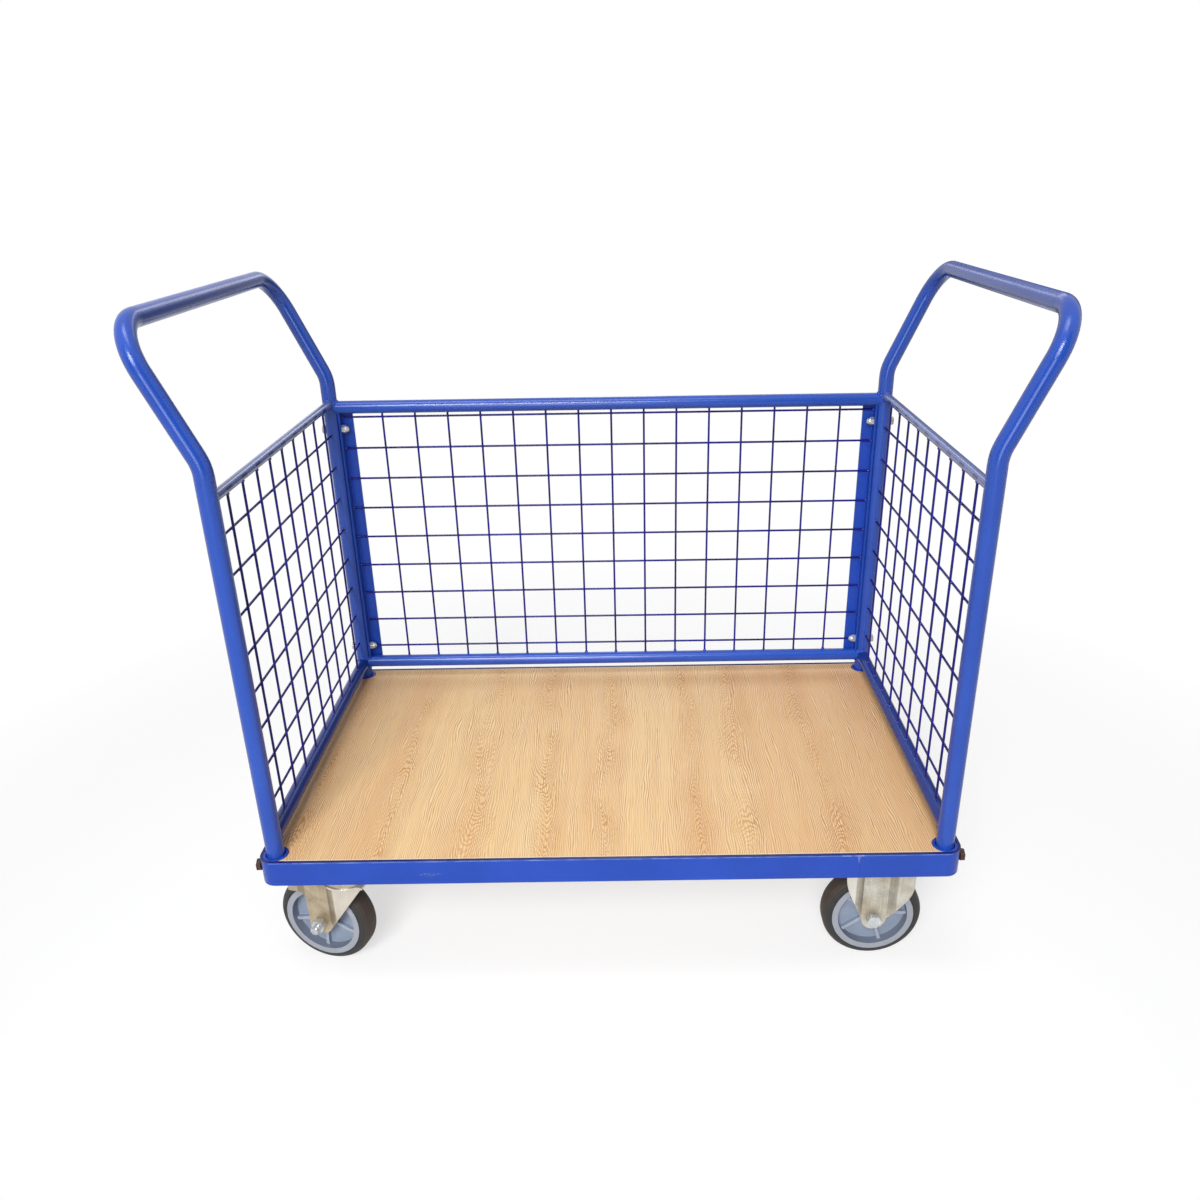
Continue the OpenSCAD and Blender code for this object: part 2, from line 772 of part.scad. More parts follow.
// The kingpin runs from the top plate down through the crown to a riveted head
module kingpin() {
  d = kingpin_d;
  head = d / 3;
  low = crown_z - move_gap - head;
  color(bright) translate([0, 0, low]) {
    cylinder(d = d, h = rim_z - seat_gap - low);
    cylinder(d = 2 * d, h = head);
  }
}

// Two cups that close round the balls, with a waist between them
module race() {
  z0 = head_z + seat_gap;
  z1 = plate_z - move_gap;
  cup = (z1 - z0) / 3;
  waist = cup / 3;
  bore = kingpin_d / 2 + run_gap;
  r = race_d / 2;
  neck = r - race_groove;
  color(zinc) rotate_extrude() polygon([[bore, z0], [r, z0], [r, z0 + cup], [neck, z0 + cup + waist],
    [neck, z1 - cup - waist], [r, z1 - cup], [neck, z1], [bore, z1]]);
}

// Places of the four castors

module fixed_place(y) { translate([castor_x, y * fixed_y, 0]) rotate(y < 0 ? 180 : 0) children(); }

module swivel_place(y) { translate([-castor_x, y * swivel_y, 0]) rotate(swivel_rest) children(); }

module swivel_base(y) { translate([-castor_x, y * swivel_y, 0]) children(); }

module fixed_wheel(y) { fixed_place(y) translate([0, 0, axle_z]) children(); }

module swivel_wheel(y) { swivel_place(y) translate([-trail, 0, axle_z]) children(); }

module fixed_front_fork() { fixed_place(-1) fixed_fork(); }
module fixed_rear_fork() { fixed_place(1) fixed_fork(); }
module fixed_front_axle() { fixed_wheel(-1) axle_bolt(); }
module fixed_rear_axle() { fixed_wheel(1) axle_bolt(); }
module fixed_front_axle_nut() { fixed_wheel(-1) axle_nut(); }
module fixed_rear_axle_nut() { fixed_wheel(1) axle_nut(); }
module fixed_front_tyre() { fixed_wheel(-1) tyre(); }
module fixed_rear_tyre() { fixed_wheel(1) tyre(); }
module fixed_front_hub() { fixed_wheel(-1) rotate([0, fixed_turn, 0]) hub(); }
module fixed_rear_hub() { fixed_wheel(1) rotate([0, fixed_turn, 0]) hub(); }
module fixed_front_bush() { fixed_wheel(-1) bush(); }
module fixed_rear_bush() { fixed_wheel(1) bush(); }
module swivel_front_plate() { swivel_base(-1) swivel_plate(); }
module swivel_rear_plate() { swivel_base(1) swivel_plate(); }
module swivel_front_kingpin() { swivel_base(-1) kingpin(); }
module swivel_rear_kingpin() { swivel_base(1) kingpin(); }
module swivel_front_race() { swivel_place(-1) race(); }
module swivel_rear_race() { swivel_place(1) race(); }
module swivel_front_fork() { swivel_place(-1) swivel_fork(); }
module swivel_rear_fork() { swivel_place(1) swivel_fork(); }
module swivel_front_axle() { swivel_wheel(-1) axle_bolt(); }
module swivel_rear_axle() { swivel_wheel(1) axle_bolt(); }
module swivel_front_axle_nut() { swivel_wheel(-1) axle_nut(); }
module swivel_rear_axle_nut() { swivel_wheel(1) axle_nut(); }
module swivel_front_tyre() { swivel_wheel(-1) tyre(); }
module swivel_rear_tyre() { swivel_wheel(1) tyre(); }
module swivel_front_hub() { swivel_wheel(-1) rotate([0, swivel_turn, 0]) hub(); }
module swivel_rear_hub() { swivel_wheel(1) rotate([0, swivel_turn, 0]) hub(); }
module swivel_front_bush() { swivel_wheel(-1) bush(); }
module swivel_rear_bush() { swivel_wheel(1) bush(); }

platform_rim();
deck_board();
cross_rails();
corner_plates();
deck_screws();
corner_sockets();
socket_lock_bolts();
left_handle_tube();
left_top_rail();
left_bottom_rail();
left_mesh();
right_handle_tube();
right_top_rail();
right_bottom_rail();
right_mesh();
back_top_tube();
back_bottom_tube();
back_left_stile();
back_right_stile();
back_mesh();
panel_bolts();
panel_cap_nuts();
castor_bolts();
castor_nuts();
fixed_front_fork();
fixed_rear_fork();
fixed_front_axle();
fixed_rear_axle();
fixed_front_axle_nut();
fixed_rear_axle_nut();
fixed_front_tyre();
fixed_rear_tyre();
fixed_front_hub();
fixed_rear_hub();
fixed_front_bush();
fixed_rear_bush();
swivel_front_plate();
swivel_rear_plate();
swivel_front_kingpin();
swivel_rear_kingpin();
swivel_front_race();
swivel_rear_race();
swivel_front_fork();
swivel_rear_fork();
swivel_front_axle();
swivel_rear_axle();
swivel_front_axle_nut();
swivel_rear_axle_nut();
swivel_front_tyre();
swivel_rear_tyre();
swivel_front_hub();
swivel_rear_hub();
swivel_front_bush();
swivel_rear_bush();
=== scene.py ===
"""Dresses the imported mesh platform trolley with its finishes, welds and threads, and sets up the studio round it."""

import logging
import math
from collections.abc import Callable, Iterable, Mapping, Sequence
from dataclasses import dataclass, field
from enum import Enum

import bmesh
import bpy
from mathutils import Matrix, Vector


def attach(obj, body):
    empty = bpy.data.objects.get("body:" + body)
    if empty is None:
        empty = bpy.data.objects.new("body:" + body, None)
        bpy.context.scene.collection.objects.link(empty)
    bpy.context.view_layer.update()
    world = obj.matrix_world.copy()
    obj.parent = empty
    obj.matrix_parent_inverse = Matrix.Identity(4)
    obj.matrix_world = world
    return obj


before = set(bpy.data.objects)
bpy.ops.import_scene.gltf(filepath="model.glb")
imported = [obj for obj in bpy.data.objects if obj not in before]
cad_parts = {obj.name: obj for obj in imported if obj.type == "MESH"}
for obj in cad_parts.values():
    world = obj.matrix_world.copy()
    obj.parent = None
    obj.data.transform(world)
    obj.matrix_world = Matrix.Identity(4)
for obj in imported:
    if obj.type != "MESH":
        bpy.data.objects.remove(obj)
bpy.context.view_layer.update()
LOG = logging.getLogger("trolley")
Pair = tuple[float, float]
Point = tuple[float, float, float]
Colour = tuple[float, float, float, float]
Mesh = bpy.types.Mesh
Inputs = Mapping[str | int, object]


def srgb(code: str) -> Colour:
    """Linear light of a screen colour that is given by six hexadecimal digits."""
    parts = (int(code[i:i + 2], 16) / 255 for i in (0, 2, 4))
    return (*(c / 12.92 if c <= 0.04045 else ((c + 0.055) / 1.055) ** 2.4 for c in parts), 1.0)


def grey(level: float) -> Colour:
    """A grey of a level in linear light."""
    return (level, level, level, 1.0)


def arithmetic(operation: str, swapped: bool = False) -> Callable[["Value", "Operand"], "Value"]:
    """Makes an arithmetic method of a value.

    Args:
        operation: Operation of the Math node.
        swapped: Whether the other operand comes first.

    Returns:
        The method.
    """
    def method(self: "Value", other: "Operand") -> "Value":
        """Adds the Math node."""
        first, second = (other, self) if swapped else (self, other)
        return self.net.math(operation, first, second)

    return method


class Value:
    """An output socket that takes part in Python arithmetic."""

    def __init__(self, net: "Net", socket: bpy.types.NodeSocket) -> None:
        """Keeps the socket and the tree that holds it."""
        self.net = net
        self.socket = socket

    __add__ = arithmetic("ADD")
    __radd__ = arithmetic("ADD", swapped=True)
    __sub__ = arithmetic("SUBTRACT")
    __rsub__ = arithmetic("SUBTRACT", swapped=True)
    __mul__ = arithmetic("MULTIPLY")
    __rmul__ = arithmetic("MULTIPLY", swapped=True)
    __truediv__ = arithmetic("DIVIDE")
    __pow__ = arithmetic("POWER")
    __gt__ = arithmetic("GREATER_THAN")
    __lt__ = arithmetic("LESS_THAN")

    def __abs__(self) -> "Value":
        """Absolute value."""
        return self.net.math("ABSOLUTE", self)


Operand = Value | float | int
Tone = Value | Colour | str


class Net:
    """A node tree that is filled by Python expressions."""

    def __init__(self, tree: bpy.types.NodeTree) -> None:
        """Keeps the tree that the nodes go into."""
        self.tree = tree

    @classmethod
    def blank(cls, owner: bpy.types.Material | bpy.types.World) -> "Net":
        """The emptied tree of a material or world.

        Args:
            owner: What the nodes belong to.

        Returns:
            Its tree.
        """
        owner.use_nodes = True
        owner.node_tree.nodes.clear()
        return cls(owner.node_tree)

    def node(self, kind: str, inputs: Inputs | None = None, **settings: object) -> bpy.types.Node:
        """Adds any node, with its settings made before its sockets are filled.

        Args:
            kind: Type name of the node; that of a shader node goes without its prefix.
            inputs: Values or links by socket name or number.
            settings: Properties by name.

        Returns:
            The new node.
        """
        made = self.tree.nodes.new(kind if "Node" in kind else f"ShaderNode{kind}")
        for key, value in settings.items():
            setattr(made, key, value)
        for key, value in (inputs or {}).items():
            if isinstance(value, Value):
                self.tree.links.new(value.socket, made.inputs[key])
            else:
                made.inputs[key].default_value = value
        return made

    def value(self, kind: str, inputs: Inputs | None = None, out: str | int = 0, **settings: object) -> Value:
        """Adds any node and gives the output with a name or number."""
        return Value(self, self.node(kind, inputs, **settings).outputs[out])

    def math(self, operation: str, *operands: Operand) -> Value:
        """One Math node on values and numbers."""
        return self.value("Math", dict(enumerate(operands)), operation=operation)

    def vector(self, operation: str, inputs: Inputs, out: str | int = 0) -> Value:
        """One Vector Math node."""
        return self.value("VectorMath", inputs, out, operation=operation)

    def mix(self, factor: Operand, first: Tone, second: Tone) -> Value:
        """Blends two colours, where a code of six digits stands for a screen colour."""
        first, second = (srgb(tone) if isinstance(tone, str) else tone for tone in (first, second))
        return self.value("Mix", {0: factor, 6: first, 7: second}, 2, data_type="RGBA")

    def ramp(self, factor: Value, start: float, stop: float, low: float = 0.0, high: float = 1.0) -> Value:
        """Maps a value from one level to another.

        Args:
            factor: The value to map.
            start: Where the first level ends.
            stop: Where the second level is reached.
            low: The first level.
            high: The second level.

        Returns:
            The level.
        """
        made = self.node("ValToRGB", {0: factor})
        for element, place, level in zip(made.color_ramp.elements, (start, stop), (low, high)):
            element.position, element.color = place, grey(level)
        return Value(self, made.outputs[0])

    def coats(self, tone: Tone, *layers: tuple[Operand, Tone]) -> Value:
        """Lays colours over a tone, each by its own mask."""
        for mask, colour in layers:
            tone = self.mix(mask, tone, colour)
        return tone

    def place(self, centre: Point = (0, 0, 0), turn: Point = (0, 0, 0), scale: Point = (1, 1, 1)) -> Value:
        """Object coordinates of a pattern with its own centre, angles and unit along each axis."""
        there = self.value("TexCoord", out="Object")
        return self.value("Mapping", {"Vector": there, "Location": centre, "Rotation": turn, "Scale": scale},
                          vector_type="TEXTURE")

    def split(self, vector: Value) -> tuple[Value, Value, Value]:
        """The three parts of a vector."""
        parts = self.node("SeparateXYZ", {0: vector})
        return tuple(Value(self, part) for part in parts.outputs)

    def join(self, x: Operand, y: Operand, z: Operand) -> Value:
        """A vector from its three parts."""
        return self.value("CombineXYZ", {0: x, 1: y, 2: z})

    def noise(self, where: Value, scale: float, detail: float = 2.0, rough: float = 0.5) -> Value:
        """Noise from zero to one, with its blobs per metre, its finer octaves and their weight."""
        return self.value("TexNoise", {"Vector": where, "Scale": scale, "Detail": detail, "Roughness": rough})

    def drawn(self, x: Operand, y: Operand, layer: Operand, detail: float = 2.0, rough: float = 0.5) -> Value:
        """Noise that is drawn out along an axis, read at three lengths in blobs."""
        return self.noise(self.join(x, y, layer), 1.0, detail, rough)

    def soft_edge(self) -> Value:
        """Normal that rounds sharp edges over a millimetre."""
        return self.value("Bevel", {"Radius": 0.0011}, samples=6)

    def edge_mask(self, rounded: Value) -> Value:
        """Grows towards one where the rounded normal leaves the true one."""
        true = self.value("NewGeometry", out="Normal")
        return self.math("MINIMUM", (1 - self.vector("DOT_PRODUCT", {0: rounded, 1: true}, "Value")) * 5.0, 1.0)

    def bump(self, height: Value, distance: float, normal: Value | None = None) -> Value:
        """Normal of a relief with a height in metres, which may stand on another normal."""
        under = {} if normal is None else {"Normal": normal}
        return self.value("Bump", {"Height": height, "Distance": distance, "Strength": 1.0, **under})

    def shader(self, **inputs: object) -> Value:
        """A Principled shader with sockets named by keywords, underscores for spaces."""
        named = {key.replace("_", " "): value for key, value in inputs.items()}
        return self.value("BsdfPrincipled", named)


@dataclass(frozen=True)
class Finish:
    """A surface finish that makes one material."""

    name: str

    def material(self) -> bpy.types.Material:
        """Builds the material, or finds it if it is built already.

        Returns:
            The material.
        """
        made = bpy.data.materials.get(self.name)
        if made is None:
            made = bpy.data.materials.new(self.name)
            net = Net.blank(made)
            net.node("OutputMaterial", {"Surface": self.shade(net)})
        return made

    def shade(self, net: Net) -> Value:
        """Builds the surface shader in a tree."""
        raise NotImplementedError


@dataclass(frozen=True)
class PowderCoat(Finish):
    """Glossy powder paint with orange peel, drifting tone and paler edges, partly thin paint and partly a painted
    highlight.
    """

    colour: str = "244fbf"
    deep: str = "1d46b0"
    thin_paint_and_highlight: str = "4a72e0"
    gloss: float = 0.12
    shine: float = 0.3
    edges: bool = True
    peel: float = 0.000006

    def relief(self, net: Net, where: Value, peel: Value) -> Value:
        """Height of the paint's surface."""
        return peel

    def marks(self, net: Net, where: Value, tone: Value) -> Value:
        """Colour of the paint with its scuffs, worn places and painted light and shade."""
        return tone

    def shade(self, net: Net) -> Value:
        """Builds the paint.

        Args:
            net: Tree for the nodes.

        Returns:
            The shader.
        """
        where = net.place()
        drift = net.ramp(net.noise(where, 7.0, 4.0), 0.3, 0.7)
        dust = net.noise(where, 180.0, 3.0)
        speck = net.noise(where, 620.0)
        tone = net.mix(drift, self.colour, self.deep)
        tone = net.mix(net.ramp(speck, 0.55, 0.85, high=0.22), tone, self.thin_paint_and_highlight)
        normal = None
        if self.edges:
            normal = net.soft_edge()
            # Paler paint on sharp edges: partly thin paint, partly a painted highlight.
            tone = net.mix(net.edge_mask(normal) * 0.4, tone, self.thin_paint_and_highlight)
        height = self.relief(net, where, net.noise(where, 650.0, 1.0))
        return net.shader(
            Base_Color=self.marks(net, where, tone),
            Roughness=self.gloss + 0.06 * drift + 0.08 * dust,
            Normal=net.bump(height, self.peel, normal), Specular_IOR_Level=self.shine)


@dataclass(frozen=True)
class RimCoat(PowderCoat):
    """Powder paint of the rim: painted shade on the top edge, a painted highlight line with painted glints under it, a
    ground seam with painted shade in its crease, and a scuff on the skirt.
    """

    front_y: float = 0.0
    top_z: float = 0.0
    # Painted shade on the rim's top edge.
    shaded_edge_depth: float = 0.0007
    edge_shade_tone: str = "1b1652"
    # A painted highlight line under the top edge, with painted glints near the seam.
    highlight_depth: Pair = (0.0009, 0.0026)
    highlight_tone: str = "88a6e2"
    glint_half: float = 0.0065
    glint_step: float = 0.018
    glint_tone: str = "eef1f8"
    seam_x: float = 0.352
    seam_half: float = 0.0032
    seam_depth: float = 0.0165
    seam_tone: str = "a3b5ee"
    crease: Pair = (0.0014, 0.0008)
    # Painted shade in the crease beside the seam.
    crease_shade_tone: str = "12297a"
    scuff: Pair = (-0.2555, 0.2093)
    scuff_half: Pair = (0.02, 0.0035)
    scuff_tone: str = "74838c"

    def relief(self, net: Net, where: Value, peel: Value) -> Value:
        """Peel with the seam on the front face."""
        x, y, _ = net.split(where)
        return peel * 0.6 + net.math("MAXIMUM", 1 - abs(x - self.seam_x) * 300.0, 0.0) * (y < self.front_y) * 14.0

    def marks(self, net: Net, where: Value, tone: Value) -> Value:
        """Painted shade on the top edge and in the crease, painted highlight line and glints, seam and scuff on the
        front of the rim.

        Args:
            net: Tree for the nodes.
            where: Place on the piece.
            tone: Colour without them.

        Returns:
            The colour with them.
        """
        x, y, z = net.split(where)
        front = y < self.front_y
        off = x - self.seam_x
        below = self.top_z - z
        # Noise that breaks the painted highlight line into streaks.
        worn = net.ramp(net.drawn(x * 34.0, 0.0, 3.0, 3.0), 0.4, 0.7, 0.15, 0.75)
        upper, lower = self.highlight_depth
        # Painted highlight line under the top edge, and painted glints on it near the seam.
        line = (below > upper) * (below < lower) * front
        glints = (abs(off + self.glint_step) < self.glint_half) + (abs(off) < self.glint_half)
        seam = (abs(off) < self.seam_half - below * 0.2) * (below > lower) * (below < self.seam_depth) * front
        crease = (abs(off - self.crease[0]) < self.crease[1]) * front
        dx = (x - self.scuff[0]) / self.scuff_half[0]
        dz = (z - self.scuff[1]) / self.scuff_half[1]
        spot = net.ramp(dx * dx + dz * dz, 0.2, 1.0, 1.0, 0.0)
        rubbed = net.ramp(net.noise(where, 420.0, 4.0), 0.45, 0.62)
        # Painted shade on the top edge and in the crease, painted highlight and glints, the pale ground seam and the
        # scuff.
        return net.coats(
            tone, (line * worn, self.highlight_tone), (line * glints * worn * 0.8, self.glint_tone),
            ((below < self.shaded_edge_depth) * 0.85, self.edge_shade_tone), (seam * 0.28, self.seam_tone),
            (crease * 0.22, self.crease_shade_tone), (spot * rubbed * front * 0.6, self.scuff_tone))


@dataclass(frozen=True)
class TubeCoat(PowderCoat):
    """Powder paint of a drawn tube, with hardly any peel and no edges."""

    edges: bool = False
    peel: float = 0.0000008


@dataclass(frozen=True)
class RailCoat(TubeCoat):
    """Powder paint of a rail along Y, with dark spots where the wires are welded under it: weld marks and a painted
    shadow and reflection of the wires.
    """

    spots_z: float = 0.0
    first_y: float = 0.0
    step: float = 1.0
    spot: float = 0.0125
    weld_and_shadow_tone: str = "1c2468"

    def marks(self, net: Net, where: Value, tone: Value) -> Value:
        """Spots below a height at equal steps.

        Args:
            net: Tree for the nodes.
            where: Place on the piece.
            tone: Colour without them.

        Returns:
            The colour with them.
        """
        _, y, z = net.split(where)
        count = (y - self.first_y) / self.step
        off = abs(count - net.math("ROUND", count)) * self.step
        uneven = net.noise(where, 260.0) * 0.002
        # Dark spots under the rail: weld marks and a painted shadow and reflection of the wires.
        near = net.ramp((off + uneven) / self.spot, 0.7, 1.0, 1.0, 0.0)
        low = net.ramp((self.spots_z - z) * 100.0, 0.0, 0.12)
        return net.mix(near * low * 0.85, tone, self.weld_and_shadow_tone)


@dataclass(frozen=True)
class OakBoard(Finish):
    """Printed oak on a board: fine streaks along Y, flame figure in columns, pores, pale cut edges and a painted shade
    towards its ends and back.
    """

    light: str = "fcdda6"
    dark: str = "f0c489"
    figure: str = "bf7a3a"
    warm_and_shade: str = "e8b17a"
    gleam: str = "fff0d2"
    edge: str = "f6ead2"
    core: str = "a87f52"
    plank: float = 0.118
    along_ring: float = 0.013
    across_ring: float = 0.003
    hook: float = 0.0045
    thread: float = 0.0028
    cut: Pair = (0.0003, 0.0018)
    half: Pair = (0.0, 0.0)
    skin_z: float = 0.0

    def flames(self, net: Net, across: Value, y: Value) -> Value:
        """Nested arches where the growth rings come up through the surface.

        Args:
            net: Tree for the nodes.
            across: Distance across the grain.
            y: Distance along the grain.

        Returns:
            The lines, from zero to one.
        """
        number = net.math("ROUND", across / self.plank)
        dice = net.node("TexWhiteNoise", {"W": number}, noise_dimensions="1D")
        first, second, third = net.split(Value(net, dice.outputs["Color"]))
        lean = net.drawn(number * 7.3, y * 4.0, 5.0) - 0.5
        from_heart = across - number * self.plank + (first - 0.5) * 0.05 + lean * 0.06
        way = (second > 0.4) * 2.0 - 1.0
        wander = net.drawn(across * 42.0, y * 10.0, 2.0, 4.0, 0.6) - 0.5
        out = (from_heart * from_heart + self.hook ** 2) ** 0.5 + from_heart * (third - 0.5) * 0.9
        ring = y * way / self.along_ring + out / self.across_ring + wander * 7.0
        wave = net.math("SINE", ring * math.tau) * 0.5 + 0.5
        near = net.ramp(abs(from_heart) * 20.0, 0.1, 0.7, 1.0, 0.0)
        fade = net.ramp(net.drawn(across * 9.0, y * 6.0, 8.0), 0.38, 0.58, 0.15, 1.0)
        return net.ramp(wave, 0.45, 0.92) * near * fade

    def shade(self, net: Net) -> Value:
        """Builds the board's surface.

        Args:
            net: Tree for the nodes.

        Returns:
            The shader.
        """
        where = net.place()
        x, y, z = net.split(where)
        sway = net.noise(net.place(scale=(0.12, 0.4, 1.0)), 1.0, 3.0) - 0.5
        across = x + sway * 0.04
        lines = self.flames(net, across, y)
        streak = net.drawn(across * 300.0, y * 5.0, 0.0, 4.0, 0.7)
        drawn = across / self.thread + net.drawn(across * 45.0, y * 7.0, 4.0, 3.0) * 5.0
        fine = net.math("SINE", drawn * math.tau) * 0.5 + 0.5
        patch = net.ramp(net.drawn(across * 75.0, y * 7.0, 6.0), 0.4, 0.64, 0.35, 1.0)
        thread = net.ramp(fine, 0.62, 0.95) * patch
        gleam = net.ramp(fine, 0.05, 0.35, 1.0, 0.0) * patch
        band = net.drawn(across * 20.0, y * 0.8, 3.0)
        pores = net.ramp(net.drawn(across * 1300.0, y * 15.0, 7.0, 1.0), 0.6, 0.72)
        tone = net.mix(net.ramp(streak * 0.55 + band * 0.45, 0.34, 0.68), self.light, self.dark)
        warm_and_shade = net.ramp(net.drawn(across * 9.0, y * 0.5, 5.0), 0.42, 0.68, high=0.5)
        # Besides random warm patches, a painted shade that darkens the board towards its left and right ends and
        # towards the back.
        warm_and_shade = warm_and_shade + net.ramp(abs(x + 0.08), 0.2, 0.58, high=0.6) + net.ramp(y, 0.05, 0.3, high=0.2)
        to_edge = net.math("MINIMUM", self.half[0] - abs(x), self.half[1] - abs(y))
        cut = (to_edge < self.cut[1]) * (to_edge > self.cut[0])
        chips = net.noise(where, 240.0, 3.0)
        tone = net.coats(
            tone, (warm_and_shade, self.warm_and_shade), (gleam * 0.65, self.gleam), (thread * 0.72, self.figure),
            (lines * 0.66, self.figure), (pores * 0.28, self.figure), (cut * 0.8, self.edge),
            (z < self.skin_z, net.mix(chips, self.core, self.dark)))
        grain = streak * 0.6 + (1 - lines) * 0.3 - pores * 0.5
        return net.shader(
            Base_Color=tone, Roughness=0.42 + 0.14 * streak, Normal=net.bump(grain, 0.0001), Specular_IOR_Level=0.35)


@dataclass(frozen=True)
class ZincPlate(Finish):
    """Zinc plated metal with soft blotches, drawing marks, a matt bloom and paler edges, partly worn plating and
    partly a painted highlight.
    """

    light: str = "d6d0c2"
    dark: str = "a79e8c"
    shine: float = 0.24
    metal: float = 0.75
    edge: str = "f4f2ec"

    def where(self, net: Net) -> Value:
        """Place on the piece."""
        return net.place()

    def stains_and_painted_light(self, net: Net, where: Value, tone: Value) -> Value:
        """Colour with the stains and the painted light and shade of the piece."""
        return tone

    def shade(self, net: Net) -> Value:
        """Builds the plating.

        Args:
            net: Tree for the nodes.

        Returns:
            The shader.
        """
        where = self.where(net)
        x, y, z = net.split(where)
        blotch = net.noise(where, 45.0, 5.0, 0.62)
        drawn = net.drawn(x * 520.0, y * 520.0, z * 16.0, 3.0)
        grit = net.noise(where, 1100.0)
        rounded = net.soft_edge()
        edge = net.edge_mask(rounded)
        worn = net.ramp(blotch * 0.45 + drawn * 0.2 + grit * 0.35, 0.38, 0.62)
        tone = self.stains_and_painted_light(net, where, net.mix(worn, self.light, self.dark))
        # Paler, shinier edges: worn plating and a painted highlight.
        tone = net.mix(edge * 0.6, tone, self.edge)
        return net.shader(
            Base_Color=tone, Metallic=self.metal,
            Roughness=self.shine + 0.16 * blotch + 0.08 * grit - 0.08 * edge,
            Normal=net.bump(grit * 0.4 + drawn * 0.6, 0.00004, rounded))


@dataclass(frozen=True)
class ForkZinc(ZincPlate):
    """Zinc of a pressed fork, with painted shade in the bends beside its middle panel, graded on one side, a painted
    highlight on its flanges, stronger on one side, and a stained middle.
    """

    centre: Point = (0, 0, 0)
    turn: float = 0.0
    panel: float = 0.0186
    bend: float = 0.013
    stain: str = "b59f7e"
    flange_highlight: str = "efece4"
    bend_shade: str = "5d5345"

    def where(self, net: Net) -> Value:
        """Place in the wheel's own frame."""
        return net.place(self.centre, (0, 0, self.turn))

    def stains_and_painted_light(self, net: Net, where: Value, tone: Value) -> Value:
        """Painted shade in the bends, a painted highlight on the flanges and a stained middle.

        Args:
            net: Tree for the nodes.
            where: Place on the piece.
            tone: Colour without them.

        Returns:
            The colour with them.
        """
        x, _, z = net.split(where)
        over = (abs(x) - self.panel) / self.bend
        upper = net.ramp(z * 10.0, 0.0, 0.3)
        # Painted shade in the concave bends, graded on one side, and a painted highlight on the flanges, stronger on
        # one side.
        inside = net.ramp(over, 0.0, 0.08) * net.ramp(over, 0.88, 1.0, 1.0, 0.0)
        deep = net.mix(x > 0, grey(0.5), net.mix(over, grey(0.85), grey(0.2)))
        stain = net.ramp(net.noise(where, 26.0, 3.0), 0.42, 0.66, high=0.35)
        return net.coats(
            tone, (stain, self.stain), ((over > 1) * upper * ((x > 0) * 0.4 + 0.12), self.flange_highlight),
            (inside * upper * deep * 0.9, self.bend_shade))


@dataclass(frozen=True)
class OldSteel(Finish):
    """Blackened bolt with brown rust on its corners."""

    steel: str = "2b2a2c"
    rust: str = "6e4630"

    def shade(self, net: Net) -> Value:
        """Builds the bolt's surface.

        Args:
            net: Tree for the nodes.

        Returns:
            The shader.
        """
        where = net.place()
        rust = net.ramp(net.noise(where, 220.0, 5.0, 0.65), 0.46, 0.62)
        rounded = net.soft_edge()
        rust = net.math("MAXIMUM", rust, net.edge_mask(rounded) * 0.7)
        return net.shader(
            Base_Color=net.mix(rust, self.steel, self.rust), Metallic=0.6 - 0.5 * rust,
            Roughness=0.45 + 0.35 * rust, Normal=net.bump(rust, 0.00008, rounded))


@dataclass(frozen=True)
class WheelFinish(Finish):
    """A finish that follows the radius of one wheel."""

    centre: Point = (0, 0, 0)
    turn: float = 0.0

    def polar(self, net: Net) -> tuple[Value, Value, Value, Value]:
        """Coordinates in the wheel's own frame.

        Args:
            net: Tree for the nodes.

        Returns:
            The place, the radius, the angle and the distance along the axle.
        """
        where = net.place(self.centre, (0, 0, self.turn))
        x, y, z = net.split(where)
        return where, (x * x + z * z) ** 0.5, net.math("ARCTAN2", z, x), y


@dataclass(frozen=True)
class TyreRubber(WheelFinish):
    """Dark rubber with moulded rings on its sides, fine serrations on the tread and grey dust."""

    side_r: float = 0.0622
    tread_r: float = 0.0718
    flank: tuple[str, str] = ("2b2b2c", "474743")
    worn: tuple[str, str] = ("3b2f28", "5e5044")
    groove: str = "1d1917"

    def shade(self, net: Net) -> Value:
        """Builds the rubber.

        Args:
            net: Tree for the nodes.

        Returns:
            The shader.
        """
        where, radius, angle, along = self.polar(net)
        dust = net.ramp(net.noise(where, 60.0, 5.0, 0.62), 0.4, 0.72)
        side = (radius > self.side_r) * (radius < self.tread_r)
        rings = abs(net.math("SINE", radius * 980.0)) ** 10 * side
        tread = radius > self.tread_r
        notch = abs(net.math("SINE", angle * 130.0)) ** 3 * tread
        groove = abs(net.math("SINE", along * 900.0)) ** 6 * tread
        flank = net.mix(dust * 0.5, *self.flank)
        worn = net.mix(dust * 0.6 + groove * 0.15, *self.worn)
        tone = net.mix(net.ramp(radius * 100.0 - 6.5, 0.35, 0.75), flank, worn)
        tone = net.mix(rings * 0.6 + notch * 0.2, tone, self.groove)
        return net.shader(
            Base_Color=tone, Roughness=0.58 + 0.25 * dust,
            Normal=net.bump(1 - rings - notch * 0.5 - groove * 0.4 + dust * 0.1, 0.0005))


